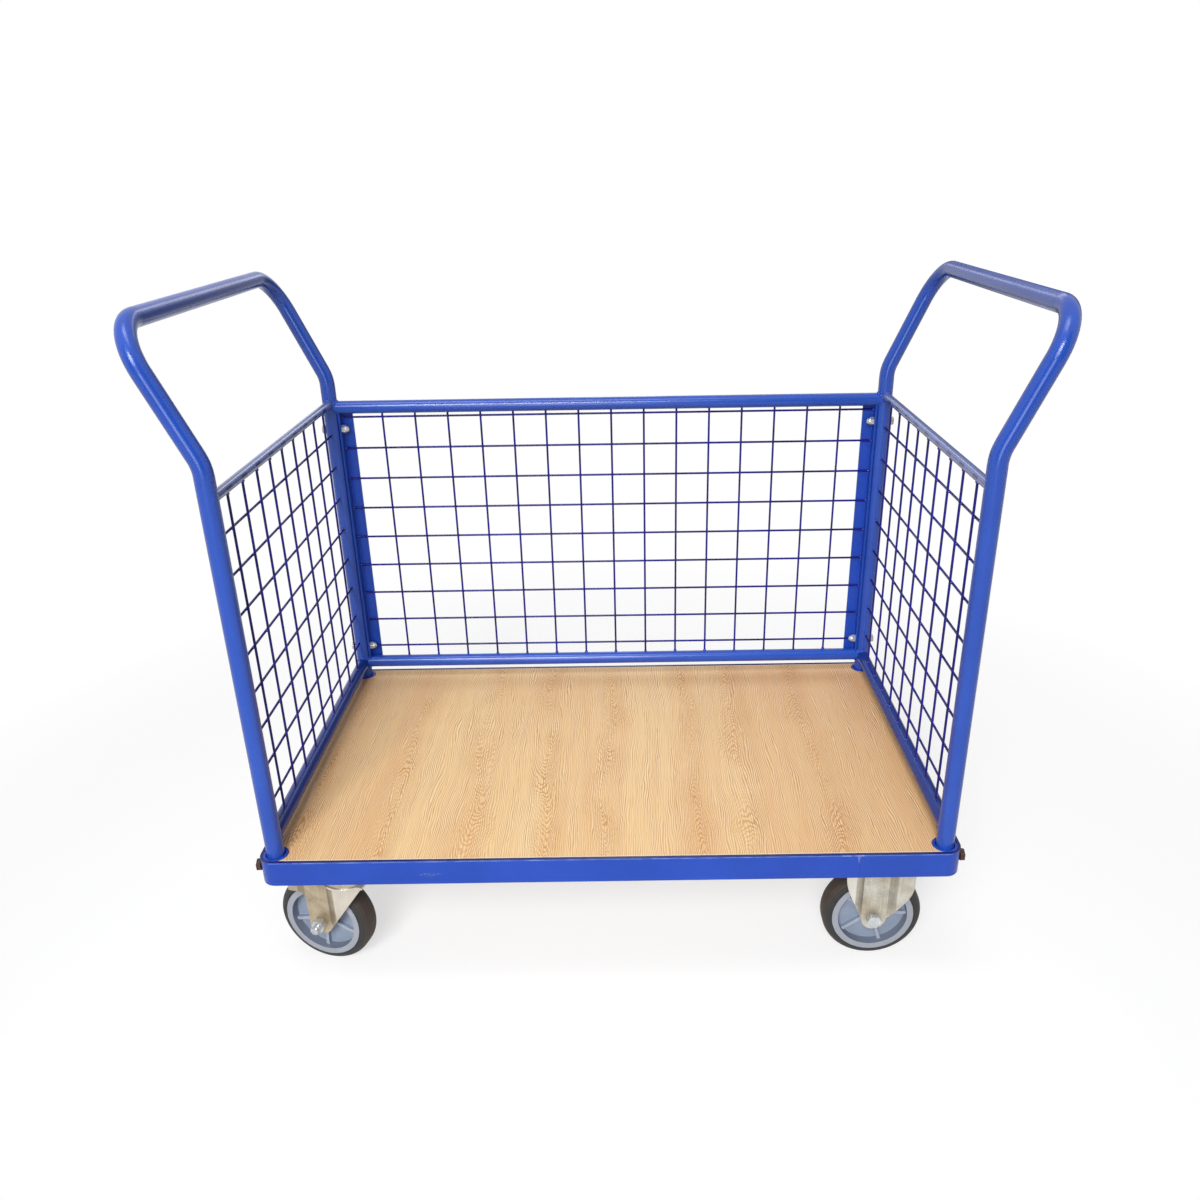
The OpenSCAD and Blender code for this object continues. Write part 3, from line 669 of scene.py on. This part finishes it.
@dataclass(frozen=True)
class HubPlastic(WheelFinish):
    """Grey moulded plastic: a paler outer ring with painted shade on its inner wall, paler rib tops and faint turning
    marks.
    """

    ring_r: float = 0.0523
    wall_y: float = 0.019
    rib_y: float = 0.0106
    dish: tuple[str, str] = ("9ba7ba", "8490a4")
    ring: tuple[str, str] = ("aeb0b8", "9b9ea8")
    wall_shade: str = "717b8e"
    rib: str = "b6bdca"
    edge: str = "c3c8cf"

    def shade(self, net: Net) -> Value:
        """Builds the plastic.

        Args:
            net: Tree for the nodes.

        Returns:
            The shader.
        """
        where, radius, _, along = self.polar(net)
        cloud = net.noise(where, 55.0, 4.0)
        grit = net.noise(where, 1100.0)
        ring = radius > self.ring_r
        # Painted shade on the ring's inner wall.
        wall_shade = ring * (abs(along) < self.wall_y)
        high = (abs(along) > self.rib_y) * (1 - ring)
        marks = abs(net.math("SINE", radius * 2400.0)) ** 4
        rounded = net.soft_edge()
        tone = net.coats(
            net.mix(cloud, *self.dish), (ring * 0.85, net.mix(cloud, *self.ring)), (wall_shade * 0.85, self.wall_shade),
            (high * 0.6, self.rib), (net.edge_mask(rounded) * 0.5, self.edge))
        return net.shader(
            Base_Color=tone, Roughness=0.38 + 0.15 * cloud + 0.06 * marks,
            Normal=net.bump(grit * 0.6 + marks * 0.4, 0.00004, rounded))


@dataclass(frozen=True)
class Paints:
    """The finishes that the sub-assemblies share."""

    blue: PowderCoat = PowderCoat("blue_powder_coat")
    tube: TubeCoat = TubeCoat("tube_powder_coat", colour="2654be", deep="1f4ab0", gloss=0.16, shine=0.5)
    # The bottom rails' paint is darker than the frame's: a painted shade.
    shaded_low_rail: TubeCoat = TubeCoat("bottom_rail_painted_shade_coat", colour="1b3c98", deep="163286", thin_paint_and_highlight="3c60c4")
    # The wires' paint is darker than the frame's: a painted shade of wires seen against the light.
    wire: PowderCoat = PowderCoat("wire_painted_shade_coat", colour="241e8c", deep="1a1670", shine=0.2, edges=False)
    knot: PowderCoat = PowderCoat("knot_powder_coat", colour="3640b4", deep="2a329a", shine=0.5, edges=False)
    zinc: ZincPlate = ZincPlate("zinc_plate")
    bright: ZincPlate = ZincPlate("bright_plate", light="e2e6e8", dark="9fa4a8", shine=0.12, metal=0.6)
    dark: OldSteel = OldSteel("old_steel")


PAINTS = Paints()


def dress(finish: Finish, *nodes: str) -> None:
    """Gives CAD nodes their finish.

    Args:
        finish: The finish to wear.
        nodes: Names of the nodes.
    """
    for name in nodes:
        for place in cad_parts[name].material_slots:
            place.material = finish.material()
        LOG.info("dressed %s in %s", name, finish.name)


def put(name: str, data: bpy.types.ID) -> bpy.types.Object:
    """Puts a new object into the scene.

    Args:
        name: Name of the object.
        data: Its mesh, lamp or camera.

    Returns:
        The object.
    """
    made = bpy.data.objects.new(name, data)
    bpy.context.scene.collection.objects.link(made)
    return made


class Recipe:
    """A Geometry Nodes tree with named inputs that is run to plain meshes."""

    NAME: str
    INPUTS: Mapping[str, str]

    def __init__(self) -> None:
        """Makes the tree with an input for each name and socket type, and fills it."""
        self.tree = bpy.data.node_groups.new(self.NAME, "GeometryNodeTree")
        self.tree.interface.new_socket("Shape", in_out="OUTPUT", socket_type="NodeSocketGeometry")
        for label, kind in {**self.INPUTS, "Finish": "Material"}.items():
            self.tree.interface.new_socket(label, in_out="INPUT", socket_type=f"NodeSocket{kind}")
        self.net = Net(self.tree)
        self.entry = self.net.node("NodeGroupInput")
        self.build()

    def __getitem__(self, label: str) -> Value:
        """One of the tree's own inputs."""
        return Value(self.net, self.entry.outputs[label])

    def step(self, kind: str, inputs: Inputs | None = None, **settings: object) -> Value:
        """The first output of a geometry node, named without its prefix."""
        return self.net.value(f"GeometryNode{kind}", inputs, **settings)

    def ring(self, sides: int, radius: Value) -> Value:
        """A circle with a number of sides, to be swept."""
        return self.step("CurvePrimitiveCircle", {"Resolution": sides, "Radius": radius}, mode="RADIUS")

    def placed(self, shape: Value) -> Value:
        """The shape, turned and moved by the inputs for that."""
        return self.step("Transform", {"Geometry": shape, "Translation": self["Place"], "Rotation": self["Turn"]})

    def build(self) -> None:
        """Fills the tree."""
        raise NotImplementedError

    def end(self, shape: Value) -> None:
        """Closes the tree with real, smooth and painted geometry.

        Args:
            shape: The geometry, which may hold instances.
        """
        real = self.step("RealizeInstances", {0: shape})
        smooth = self.step("SetShadeSmooth", {"Geometry": real})
        painted = self.step("SetMaterial", {"Geometry": smooth, "Material": self["Finish"]})
        self.net.node("NodeGroupOutput", {0: painted})

    def run(self, finish: Finish, **values: object) -> Mesh:
        """Runs the tree once.

        Args:
            finish: The finish that the mesh wears.
            values: Other input values by name.

        Returns:
            The plain mesh.
        """
        holder = put(self.NAME, bpy.data.meshes.new(self.NAME))
        modifier = holder.modifiers.new(self.NAME, "NODES")
        modifier.node_group = self.tree
        values["Finish"] = finish.material()
        for item in self.tree.interface.items_tree:
            if item.in_out == "INPUT" and item.name in values:
                modifier[item.identifier] = values[item.name]
        holder.update_tag()
        depsgraph = bpy.context.evaluated_depsgraph_get()
        made = bpy.data.meshes.new_from_object(holder.evaluated_get(depsgraph), depsgraph=depsgraph)
        bpy.data.objects.remove(holder)
        return made


class WeldRow(Recipe):
    """A row of lumpy weld nuggets at equal steps."""

    NAME = "weld_row"
    INPUTS = {"Count": "Int", "Start": "Vector", "Step": "Vector", "Size": "Vector", "Seed": "Int"}
    SPREAD: Pair = (0.82, 1.2)
    LUMPS: float = 420.0
    DEPTH: float = 0.0012

    def build(self) -> None:
        """Puts an uneven ball on each point of a line."""
        net = self.net
        line = self.step("MeshLine", {
            "Count": self["Count"], "Start Location": self["Start"], "Offset": self["Step"]}, mode="OFFSET")
        ball = self.step("MeshIcoSphere", {"Radius": 1.0, "Subdivisions": 2})
        lump = self.step("Transform", {"Geometry": ball, "Scale": self["Size"]})
        spread = net.value("FunctionNodeRandomValue", {
            2: self.SPREAD[0], 3: self.SPREAD[1], "Seed": self["Seed"]}, 1, data_type="FLOAT")
        size = net.join(spread, spread, spread)
        rows = self.step("InstanceOnPoints", {"Points": line, "Instance": lump, "Scale": size})
        real = self.step("RealizeInstances", {0: rows})
        rough = net.value("TexNoise", {"Scale": self.LUMPS, "Detail": 1.0}, out="Color")
        centred = net.vector("SUBTRACT", {0: rough, 1: (0.5, 0.5, 0.5)})
        shift = net.vector("SCALE", {0: centred, "Scale": self.DEPTH})
        self.end(self.step("SetPosition", {"Geometry": real, "Offset": shift}))


class SaddleBead(Recipe):
    """A rippled weld bead along the line where a rail meets a round post.

    The rail runs along Z and the post stands along Y, with its axis at the origin.
    """

    NAME = "saddle_bead"
    INPUTS = {"Rail Radius": "Float", "Post Radius": "Float", "Bead Radius": "Float", "Ripples": "Float",
              "Place": "Vector", "Turn": "Rotation"}
    STEPS: int = 96
    SIDES: int = 8
    RIPPLE: float = 0.16
    LUMPS: float = 150.0

    def build(self) -> None:
        """Bends a circle onto the post and sweeps a bead along it."""
        net = self.net
        circle = self.step("MeshCircle", {"Vertices": self.STEPS, "Radius": self["Rail Radius"]})
        x, y, _ = net.split(self.step("InputPosition"))
        post = self["Post Radius"]
        height = net.math("MAXIMUM", post * post - x * x, 0.0) ** 0.5
        bent = self.step("SetPosition", {"Geometry": circle, "Position": net.join(x, y, height)})
        angle = net.math("ARCTAN2", y, x)
        ripple = net.math("SINE", angle * self["Ripples"]) * self.RIPPLE + 1.0
        uneven = net.value("TexNoise", {"Scale": self.LUMPS, "Detail": 1.0}) * 0.5 + 0.75
        path = self.step("MeshToCurve", {0: bent})
        swollen = self.step("SetCurveRadius", {"Curve": path, "Radius": ripple * uneven})
        profile = self.ring(self.SIDES, self["Bead Radius"])
        self.end(self.placed(self.step("CurveToMesh", {
            "Curve": swollen, "Profile Curve": profile, "Scale": ripple * uneven})))


class Thread(Recipe):
    """A screw thread that winds up from the origin along Z."""

    NAME = "bolt_thread"
    INPUTS = {"Radius": "Float", "Length": "Float", "Turns": "Float", "Ridge": "Float",
              "Place": "Vector", "Turn": "Rotation"}
    STEPS: int = 40
    SIDES: int = 4

    def build(self) -> None:
        """Sweeps a pointed ridge along a helix."""
        helix = self.step("CurveSpiral", {
            "Resolution": self.STEPS, "Rotations": self["Turns"], "Start Radius": self["Radius"],
            "End Radius": self["Radius"], "Height": self["Length"]})
        ridge = self.ring(self.SIDES, self["Ridge"])
        self.end(self.placed(self.step("CurveToMesh", {"Curve": helix, "Profile Curve": ridge, "Fill Caps": True})))


def piece(name: str, body: str, finish: Finish, meshes: Iterable[Mesh]) -> None:
    """Joins meshes to one piece that rides on a body.

    Args:
        name: Name of the piece.
        body: CAD body that carries it.
        finish: The finish that it wears.
        meshes: Meshes in place.
    """
    shape = bmesh.new()
    for part in meshes:
        shape.from_mesh(part)
    for face in shape.faces:
        face.material_index = 0
    bmesh.ops.recalc_face_normals(shape, faces=shape.faces)
    whole = bpy.data.meshes.new(name)
    shape.to_mesh(whole)
    shape.free()
    whole.materials.append(finish.material())
    made = put(name, whole)
    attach(made, body)
    LOG.info("made %s with %d faces on %s", name, len(whole.polygons), body)


def aim(direction: Point) -> Point:
    """Angles that turn Z to a level direction and Y upright.

    Args:
        direction: Where Z points.

    Returns:
        The angles about X, Y and Z.
    """
    z = Vector(direction).normalized()
    x = Vector((0, 0, 1)).cross(z).normalized()
    turn = Matrix((x, z.cross(x), z)).transposed().to_euler()
    return (turn.x, turn.y, turn.z)


@dataclass
class Tools:
    """The recipes that the sub-assemblies share."""

    weld_row: WeldRow = field(default_factory=WeldRow)
    saddle_bead: SaddleBead = field(default_factory=SaddleBead)
    thread: Thread = field(default_factory=Thread)


@dataclass
class Platform:
    """The rim with its board, rails, plates, sockets and bolts."""

    half: Pair = (0.495, 0.295)
    front_y: float = -0.2992
    rim_top: float = 0.233
    skin_z: float = 0.2322

    def dress(self) -> None:
        """Gives the platform's nodes their finishes."""
        dress(RimCoat("rim_powder_coat", front_y=self.front_y, top_z=self.rim_top), "platform_rim")
        dress(OakBoard("oak_board", half=self.half, skin_z=self.skin_z), "deck_board")
        dress(PAINTS.blue, "cross_rails", "corner_plates", "corner_sockets")
        dress(PAINTS.bright, "deck_screws")
        dress(PAINTS.dark, "socket_lock_bolts")
        dress(PAINTS.zinc, "castor_bolts", "castor_nuts")


class Place(Enum):
    """A place on the trolley, with its name and the sign of its axis."""

    def __init__(self, label: str, sign: int) -> None:
        """Takes the value apart."""
        self.label = label
        self.sign = sign


class Side(Place):
    """The two ends of the trolley along X."""

    LEFT = ("left", -1)
    RIGHT = ("right", 1)


class End(Place):
    """The open front and the back of the trolley along Y."""

    FRONT = ("front", -1)
    REAR = ("rear", 1)


@dataclass(kw_only=True)
class MeshFrame:
    """A wire mesh in a frame between two posts, with its welds."""

    tools: Tools
    post_x: float = 0.4783
    post_y: float = 0.2783
    post_r: float = 0.0125
    columns: int
    rows: int
    first_row: float
    row_step: float
    nugget: float = 0.0027
    flat: float = 0.8
    crossing: Point
    row_seed: int = 5
    crossing_seed: int = 20
    bead_r: float = 0.0016
    bead_gap: float = 0.0004
    ripples: float = 30.0

    def welds(self, column_ends: Sequence[Point], row_ends: Sequence[Point], first: Point, step: Point,
              row_size: Point) -> list[Mesh]:
        """Nuggets at the ends of the wires and at the crossings.

        Args:
            column_ends: First nugget at the top and at the bottom of the upright wires.
            row_ends: First nugget at either end of the level wires.
            first: First crossing.
            step: From one upright wire to the next.
            row_size: Size of the nuggets on the level wires.

        Returns:
            The meshes.
        """
        n, drop = self.nugget, self.row_step
        rows = [(self.columns, start, step, (n, n, self.flat * n), seed) for seed, start in enumerate(column_ends)]
        for seed, start in enumerate(row_ends, self.row_seed):
            rows.append((self.rows, start, (0.0, 0.0, -drop), row_size, seed))
        for i in range(self.rows):
            start = (first[0], first[1], first[2] - i * drop)
            rows.append((self.columns, start, step, self.crossing, self.crossing_seed + i))
        labels = tuple(WeldRow.INPUTS)
        return [self.tools.weld_row.run(PAINTS.knot, **dict(zip(labels, row))) for row in rows]

    def bead(self, radius: float, place: Point, out: Point) -> Mesh:
        """A bead round a rail that runs out of a post from the place where their axes meet."""
        return self.tools.saddle_bead.run(PAINTS.tube, **{
            "Rail Radius": radius + self.bead_gap, "Post Radius": self.post_r, "Bead Radius": self.bead_r,
            "Ripples": self.ripples, "Place": place, "Turn": aim(out)})


@dataclass(kw_only=True)
class EndFrame(MeshFrame):
    """A hoop handle with its two rails and mesh."""

    side: Side
    top_z: float = 0.758
    top_r: float = 0.007
    bottom_z: float = 0.261
    bottom_r: float = 0.011
    columns: int = 9
    column_step: float = 0.05566
    rows: int = 8
    first_row: float = 0.7045
    row_step: float = 0.057
    wire_off: float = 0.00155
    crossing: Point = (0.0021, 0.0023, 0.0023)
    spot_rise: float = 0.6
    spot_back: float = 0.003

    @property
    def first_column(self) -> float:
        """Where the first upright wire stands along Y."""
        return self.column_step - self.post_y

    def knots(self) -> list[Mesh]:
        """Nuggets of the end's mesh.

        Returns:
            The meshes.
        """
        sign, n, first_y = self.side.sign, self.nugget, self.first_column
        column_x, row_x = sign * (self.post_x - self.wire_off), sign * (self.post_x + self.wire_off)
        reach = self.post_y - self.post_r
        return self.welds(
            [(column_x, first_y, z) for z in (self.top_z - self.top_r, self.bottom_z + self.bottom_r)],
            [(row_x, end.sign * reach, self.first_row) for end in End],
            (sign * self.post_x, first_y, self.first_row),
            (0.0, self.column_step, 0.0), (n, self.flat * n, n))

    def beads(self) -> list[Mesh]:
        """Beads where the rails meet the posts."""
        x, rails = self.side.sign * self.post_x, ((self.top_z, self.top_r), (self.bottom_z, self.bottom_r))
        return [self.bead(radius, (x, end.sign * self.post_y, z), (0, -end.sign, 0))
                for end in End for z, radius in rails]

    def dress(self) -> None:
        """Gives the end's nodes their finishes and adds its welds."""
        name = self.side.label
        dress(PAINTS.tube, f"{name}_handle_tube")
        dress(PAINTS.shaded_low_rail, f"{name}_bottom_rail")
        # The top rail's paint is paler than the frame's: a painted reflection of a bright background at a grazing
        # angle.
        dress(RailCoat("top_rail_painted_reflection_coat", colour="6d7fc0", deep="6072b2", thin_paint_and_highlight="8c9cd6", shine=0.9,
                       spots_z=self.top_z + self.top_r * self.spot_rise,
                       first_y=self.first_column - self.spot_back, step=self.column_step), f"{name}_top_rail")
        dress(PAINTS.wire, f"{name}_mesh")
        piece(f"{name}_mesh_knots", "chassis", PAINTS.knot, self.knots())
        piece(f"{name}_rail_beads", "chassis", PAINTS.tube, self.beads())


@dataclass(kw_only=True)
class BackPanel(MeshFrame):
    """The bolted mesh panel between the rear posts."""

    tube_r: float = 0.011
    top_z: float = 0.751
    bottom_z: float = 0.262
    columns: int = 15
    first_column: float = -0.3916
    column_step: float = 0.0568
    column_y: float = 0.2838
    column_rise: float = 0.01056
    rows: int = 9
    first_row: float = 0.732
    row_step: float = 0.0551
    row_y: float = 0.2869
    row_x: float = 0.4624
    crossing: Point = (0.0023, 0.0021, 0.0023)

    def knots(self) -> list[Mesh]:
        """Nuggets of the panel's mesh."""
        n, first_x = self.nugget, self.first_column
        return self.welds(
            [(first_x, self.column_y, z) for z in (self.top_z - self.column_rise, self.bottom_z + self.column_rise)],
            [(side.sign * self.row_x, self.row_y, self.first_row) for side in Side],
            (first_x, (self.column_y + self.row_y) / 2, self.first_row),
            (self.column_step, 0.0, 0.0), (self.flat * n, n, n))

    def beads(self) -> list[Mesh]:
        """Beads where the tubes meet the posts."""
        return [self.bead(self.tube_r, (side.sign * self.post_x, self.post_y, z), (-side.sign, 0, 0))
                for side in Side for z in (self.top_z, self.bottom_z)]

    def dress(self) -> None:
        """Gives the panel's nodes their finishes and adds its welds."""
        dress(PAINTS.tube, "back_top_tube", "back_bottom_tube")
        dress(PAINTS.blue, "back_left_stile", "back_right_stile")
        dress(PAINTS.wire, "back_mesh")
        dress(PAINTS.zinc, "panel_bolts")
        dress(PAINTS.bright, "panel_cap_nuts")
        piece("back_mesh_knots", "chassis", PAINTS.knot, self.knots())
        piece("back_tube_beads", "chassis", PAINTS.tube, self.beads())


class CastorKind(Enum):
    """How a castor is mounted."""

    FIXED = "fixed"
    SWIVEL = "swivel"


FORK_TONES = {CastorKind.FIXED: ("dedbcf", "a09a89"), CastorKind.SWIVEL: ("cbbda4", "9c8a70")}


@dataclass
class Castor:
    """One castor with its wheel."""

    kind: CastorKind
    end: End
    tools: Tools
    x: float = 0.396
    fixed_y: float = 0.225
    swivel_y: float = 0.231
    axle_z: float = 0.075
    trail: float = 0.044
    rest: float = math.radians(-16)
    axle_r: float = 0.006
    nut_face: float = 0.0348
    thread_l: float = 0.0096
    thread_end: float = 0.0006
    pitch: float = 0.00175
    ridge: float = 0.0007

    def wheel(self) -> tuple[Point, float]:
        """Finds the wheel's own frame.

        Returns:
            Its centre and its turn about Z.
        """
        end = self.end.sign
        if self.kind is CastorKind.FIXED:
            return (self.x, end * self.fixed_y, self.axle_z), (math.pi if end < 0 else 0.0)
        back = Vector((-self.trail, 0, 0))
        back.rotate(Matrix.Rotation(self.rest, 3, "Z"))
        return (-self.x + back.x, end * self.swivel_y + back.y, self.axle_z), self.rest

    def dress(self) -> None:
        """Gives the castor's nodes their finishes and adds the axle's thread."""
        stem = f"{self.kind.value}_{self.end.label}"
        centre, turn = self.wheel()
        light, dark = FORK_TONES[self.kind]
        dress(ForkZinc(f"{stem}_fork_zinc", light, dark, centre=centre, turn=turn), f"{stem}_fork")
        dress(PAINTS.bright, f"{stem}_axle", f"{stem}_axle_nut", f"{stem}_bush")
        dress(TyreRubber(f"{stem}_tyre_rubber", centre, turn), f"{stem}_tyre")
        dress(HubPlastic(f"{stem}_hub_plastic", centre, turn), f"{stem}_hub")
        body = "chassis"
        if self.kind is CastorKind.SWIVEL:
            dress(PAINTS.zinc, f"{stem}_plate", f"{stem}_race")
            dress(PAINTS.bright, f"{stem}_kingpin")
            body = f"swivel_{self.end.label}"
        out = Vector((0, -1, 0))
        out.rotate(Matrix.Rotation(turn, 3, "Z"))
        start = Vector(centre) + out * self.nut_face
        thread = self.tools.thread.run(
            PAINTS.bright, Radius=self.axle_r, Length=self.thread_l - self.thread_end,
            Turns=self.thread_l / self.pitch, Ridge=self.ridge, Place=tuple(start), Turn=aim(tuple(out)))
        piece(f"{stem}_axle_thread", body, PAINTS.bright, [thread])


def board(name: str, corners: Sequence[Point]) -> tuple[bpy.types.Object, Net]:
    """Makes a board of the studio that is not sampled as a lamp.

    Args:
        name: Name of the board.
        corners: Its four corners in turn.

    Returns:
        The board and the empty tree of its material.
    """
    mesh = bpy.data.meshes.new(name)
    mesh.from_pydata(corners, [], [(0, 1, 2, 3)])
    paint = bpy.data.materials.new(name)
    net = Net.blank(paint)
    paint.cycles.emission_sampling = "NONE"
    mesh.materials.append(paint)
    return put(name, mesh), net


@dataclass(frozen=True)
class Flag:
    """A board that shows only in reflections and keeps them from being white all round.

    The glow is the level at its left edge and from the fade's distance on.
    """

    name: str
    x: Pair
    y: float
    top: float
    glow: Pair
    fade: float = 0.5

    def build(self) -> None:
        """Puts the board up."""
        (left, right), y, top = self.x, self.y, self.top
        made, net = board(self.name, [(left, y, 0), (right, y, 0), (right, y, top), (left, y, top)])
        made.visible_camera = made.visible_diffuse = made.visible_transmission = made.visible_shadow = False
        across, _, _ = net.split(net.place((left, 0, 0)))
        level = net.ramp(across, 0.0, self.fade, *self.glow)
        shine = net.value("Emission", {"Color": grey(1.0), "Strength": level})
        net.node("OutputMaterial", {"Surface": shine})


@dataclass(frozen=True)
class SoftBox:
    """A soft lamp; the spread is the angle in degrees that a grid in front of it lets through."""

    name: str
    place: Point
    target: Point
    size: Pair
    watts: float
    spread: float = 180.0

    def build(self) -> None:
        """Hangs the lamp and points it."""
        light = bpy.data.lights.new(self.name, "AREA")
        light.shape = "RECTANGLE"
        light.size, light.size_y = self.size
        light.energy = self.watts
        light.spread = math.radians(self.spread)
        turn = (Vector(self.place) - Vector(self.target)).to_track_quat("Z", "Y")
        put(self.name, light).matrix_world = Matrix.LocRotScale(Vector(self.place), turn, None)


@dataclass
class Studio:
    """Floor, soft lights and the camera."""

    image: int = 1200
    focal_px: float = 1006.0
    centre_px: Pair = (626.0, 614.4)
    eye: Point = (0.0313, -1.4561, 1.1229)
    yaw: float = math.radians(-0.16)
    pitch: float = math.radians(23.97)
    roll: float = math.radians(-0.91)
    sensor: float = 36.0
    near: float = 0.01
    sky: float = 0.15
    floor_half: float = 8.0
    floor_tone: float = 0.46
    floor_glow: float = 0.63
    floor_reach: float = 2.0
    floor_fade: Pair = (0.35, 0.75)
    flags: tuple[Flag, ...] = (
        Flag("studio_side_flag", (0.16, 3.6), 2.6, 2.4, (0.65, 0.2)),
        Flag("studio_front_flag", (-6.0, 6.0), -4.6, 6.0, (0.06, 0.06)),
    )
    lamps: tuple[SoftBox, ...] = (
        SoftBox("key_box", (-0.7, -3.4, 2.7), (0, -0.1, 0.15), (1.8, 1.5), 14.0, 50.0),
        SoftBox("strip_box", (-0.35, -2.7, 0.9), (-0.1, 0, 0.85), (0.85, 1.0), 15.0),
        SoftBox("top_box", (-0.4, -0.6, 3.6), (0, -0.05, 0.2), (2.0, 1.0), 5.0, 70.0),
        SoftBox("back_box", (0.6, 2.8, 2.2), (0, 0, 0.4), (1.6, 1.2), 14.0),
    )

    def camera(self) -> None:
        """Sets the camera up as the photograph was taken."""
        sy, cy, sp, cp = math.sin(self.yaw), math.cos(self.yaw), math.sin(self.pitch), math.cos(self.pitch)
        ahead = Vector((sy * cp, cy * cp, -sp))
        right = Vector((cy, -sy, 0.0))
        up = right.cross(ahead)
        sr, cr = math.sin(self.roll), math.cos(self.roll)
        across, above = cr * right + sr * up, cr * up - sr * right
        lens = bpy.data.cameras.new("photo_camera")
        lens.sensor_width = self.sensor
        lens.lens = self.focal_px / self.image * self.sensor
        lens.shift_x = (self.image / 2 - self.centre_px[0]) / self.image
        lens.shift_y = (self.centre_px[1] - self.image / 2) / self.image
        lens.clip_start = self.near
        made = put("photo_camera", lens)
        turn = Matrix((across, above, -ahead)).transposed().to_4x4()
        made.matrix_world = Matrix.Translation(self.eye) @ turn
        bpy.context.scene.camera = made

    def seen(self, net: Net) -> Value:
        """One for rays that show the background, zero for those that light the object."""
        camera, glossy, through = (
            net.value("LightPath", out=f"Is {kind} Ray") for kind in ("Camera", "Glossy", "Transmission"))
        return net.math("MAXIMUM", camera, net.math("MAXIMUM", glossy, through))

    def level(self, net: Net) -> Value:
        """Full white to look at, the softer level of the sky as a light."""
        return self.sky + (1 - self.sky) * self.seen(net)

    def world(self) -> None:
        """White to look at, softer as a light."""
        made = bpy.data.worlds.new("studio_world")
        net = Net.blank(made)
        glow = net.value("Background", {"Color": grey(1.0), "Strength": self.level(net)})
        net.node("OutputWorld", {"Surface": glow})
        bpy.context.scene.world = made

    def floor(self) -> None:
        """A pale floor that keeps the shadow near the trolley and runs into white."""
        half = self.floor_half
        made, net = board("studio_floor", [(-half, -half, 0), (half, -half, 0), (half, half, 0), (-half, half, 0)])
        x, y, _ = net.split(net.place())
        away = net.ramp((x * x + y * y) ** 0.5 / self.floor_reach, *self.floor_fade)
        glow = net.mix(self.seen(net), grey(0.0), grey(self.floor_glow))
        pale = net.shader(Base_Color=grey(self.floor_tone), Roughness=0.9, Specular_IOR_Level=0.0,
                          Emission_Color=glow, Emission_Strength=1.0)
        white = net.value("Emission", {"Color": grey(1.0), "Strength": self.level(net)})
        mixed = net.value("MixShader", {0: away, 1: pale, 2: white})
        net.node("OutputMaterial", {"Surface": mixed})

    def build(self) -> None:
        """Builds the whole studio."""
        bpy.context.scene.view_settings.view_transform = "Standard"
        self.world()
        self.floor()
        for item in (*self.flags, *self.lamps):
            item.build()
        self.camera()
        LOG.info("made the studio")


def main() -> None:
    """Builds the trolley's looks and the studio in order."""
    logging.basicConfig(level=logging.INFO, format="%(message)s")
    tools = Tools()
    Platform().dress()
    for side in Side:
        EndFrame(side=side, tools=tools).dress()
    BackPanel(tools=tools).dress()
    for kind in CastorKind:
        for end in End:
            Castor(kind, end, tools).dress()
    Studio().build()


if __name__ == "__main__":
    main()
